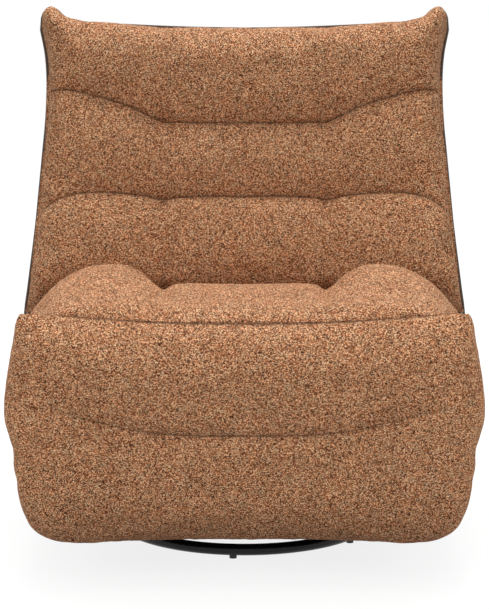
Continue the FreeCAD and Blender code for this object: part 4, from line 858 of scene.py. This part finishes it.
def webbing_material():
    """Woven elastic webbing."""
    material, tree, shader, place = new_material("webbing", Roughness=0.85, Sheen_Weight=0.1)
    weft, warp = (add(tree, "ShaderNodeTexWave", {"Vector": place, "Scale": 110.0, "Distortion": 0.5},
                      bands_direction=way).outputs["Fac"] for way in "XZ")
    woven = sum_up(tree, weft, warp, "MULTIPLY")
    tree.links.new(ramp(tree, woven, WEBBING_WEAVE), shader.inputs["Base Color"])
    relief(tree, shader, woven, strength=0.5, distance=0.0008)
    return material


def make_finishes():
    """The material of each slot in the record."""
    return {
        "boucle": tweed_material(),
        "black_metal": speckled_material(
            "black_enamel", dark=(0.004, 0.004, 0.005), light=(0.012, 0.012, 0.013), scale=420.0,
            strength=0.06, depth=0.0004, rough=(0.20, 0.34), Specular_IOR_Level=0.22, Coat_Weight=0.08,
            Coat_Roughness=0.08),
        "zinc_steel": speckled_material(
            "zinc_steel", dark=(0.42, 0.42, 0.41), light=(0.68, 0.68, 0.66), scale=260.0, strength=0.1,
            depth=0.0003, rough=(0.28, 0.46), stretch=(1.0, 1.0, 0.2), Metallic=1.0),
        "black_plastic": speckled_material(
            "black_plastic", dark=(0.010, 0.010, 0.011), light=(0.032, 0.032, 0.034), scale=900.0,
            strength=0.25, depth=0.0004, rough=(0.42, 0.60)),
        "nylon": speckled_material(
            "nylon", dark=(0.70, 0.68, 0.62), light=(0.84, 0.83, 0.78), scale=320.0, strength=0.08,
            depth=0.0003, rough=(0.38, 0.55), Subsurface_Weight=0.1),
        "timber": speckled_material(
            "timber", dark=(0.36, 0.21, 0.10), light=(0.66, 0.46, 0.26), scale=150.0, strength=0.3,
            depth=0.0006, rough=(0.55, 0.78), stretch=(0.08, 1.0, 1.0)),
        "felt": speckled_material(
            "felt", dark=(0.11, 0.11, 0.115), light=(0.34, 0.34, 0.35), scale=700.0, strength=0.6,
            depth=0.0015, rough=(0.9, 1.0), Sheen_Weight=0.3),
        "webbing": webbing_material(),
    }


def seen_directly(tree):
    """1 on rays from the camera, from a mirror or through glass, otherwise 0."""
    path = add(tree, "ShaderNodeLightPath")
    direct = sum_up(tree, path.outputs["Is Camera Ray"], path.outputs["Is Glossy Ray"], "MAXIMUM")
    return sum_up(tree, direct, path.outputs["Is Transmission Ray"], "MAXIMUM")


def paper_material():
    """White paper that glows where it is seen, so that only the chair's shadow marks it."""
    material, tree, shader, place = new_material("floor_paper", Roughness=0.9, Specular_IOR_Level=0.0)
    tooth = add(tree, "ShaderNodeTexNoise", {"Vector": place, "Scale": 3.0}).outputs["Fac"]
    direct = seen_directly(tree)
    colour = blend_colour(tree, ramp(tree, tooth, PAPER_TOOTH), PAPER_SEEN, direct)
    tree.links.new(colour, shader.inputs["Base Color"])
    shader.inputs["Emission Color"].default_value = WHITE
    tree.links.new(sum_up(tree, direct, PAPER_GLOW, "MULTIPLY"), shader.inputs["Emission Strength"])
    return material


def make_floor():
    """The studio's floor."""
    corners = [(-FLOOR_SPAN, -FLOOR_SPAN, 0), (FLOOR_SPAN, -FLOOR_SPAN, 0),
               (FLOOR_SPAN, FLOOR_SPAN, 0), (-FLOOR_SPAN, FLOOR_SPAN, 0)]
    floor = mesh_object("floor", corners, [[0, 1, 2, 3]])
    floor.data.materials.append(paper_material())


def make_backdrop():
    """A world that is white where it is seen and lights the chair from above like a dome."""
    world = bpy.data.worlds.new("studio")
    world.use_nodes = True
    bpy.context.scene.world = world
    tree = world.node_tree
    backdrop = next(node for node in tree.nodes if node.type == "BACKGROUND")
    backdrop.inputs["Color"].default_value = WHITE
    way = add(tree, "ShaderNodeTexCoord").outputs["Generated"]
    upward = add(tree, "ShaderNodeSeparateXYZ", {"Vector": way}).outputs["Z"]
    dome = sum_up(tree, sum_up(tree, upward, 0.0, "MAXIMUM"), DOME_LIGHT, "MULTIPLY")
    direct = seen_directly(tree)
    unseen = sum_up(tree, 1.0, direct, "SUBTRACT")
    strength = sum_up(tree, direct, sum_up(tree, dome, unseen, "MULTIPLY"))
    tree.links.new(strength, backdrop.inputs["Strength"])


def soft_box(name, place, aim, size, power):
    """A square studio lamp."""
    lamp = bpy.data.lights.new(name, "AREA")
    lamp.shape = "SQUARE"
    lamp.size = size
    lamp.energy = power
    obj = bpy.data.objects.new(name, lamp)
    obj.location = place
    obj.rotation_euler = (Vector(aim) - Vector(place)).to_track_quat("-Z", "Y").to_euler()
    bpy.context.collection.objects.link(obj)


def make_camera():
    """The camera, at the photo's view."""
    camera = bpy.data.objects.new("camera", bpy.data.cameras.new("camera"))
    camera.data.lens = CAMERA_LENS
    camera.data.sensor_width = CAMERA_SENSOR
    camera.location = CAMERA_PLACE
    camera.rotation_euler = (math.radians(90 - CAMERA_DOWN), 0, 0)
    bpy.context.collection.objects.link(camera)
    bpy.context.scene.camera = camera
    bpy.context.scene.view_settings.view_transform = "Standard"


finishes = make_finishes()
tweed = finishes["boucle"]
for subpart in frame["record"]["subparts"]:
    cad = frame["nodes"][subpart["node"]]
    cad.data.materials.clear()
    cad.data.materials.append(finishes[subpart["material_slot"]])

hands = ((-1, "left"), (1, "right"))
make_back_cushion(tweed)
make_shell(tweed)
make_seat_cushion(tweed)
make_front_pad(tweed)
for side, hand in hands:
    make_side_panel(side, hand + "_side_panel", tweed)
make_rear_apron(tweed)
make_piping(piping_material())
make_rock_springs(finishes["zinc_steel"])
make_strip("crevice_cloth", CREVICE_HALF_WIDTH, CREVICE_LINE,
           tweed)
for side, hand in hands:
    make_bellows(hand + "_side_gusset", side, tweed)
make_strip("rear_dust_cloth", DUST_HALF_WIDTH, DUST_LINE,
           tweed)

make_floor()
make_backdrop()
soft_box("top_box", TOP_LAMP_PLACE, LAMP_AIM, size=2.0, power=94)
for side, hand in hands:
    soft_box(hand + "_box", (side * SIDE_LAMP_X, SIDE_LAMP_Y, SIDE_LAMP_Z), LAMP_AIM, size=0.8, power=10)
make_camera()
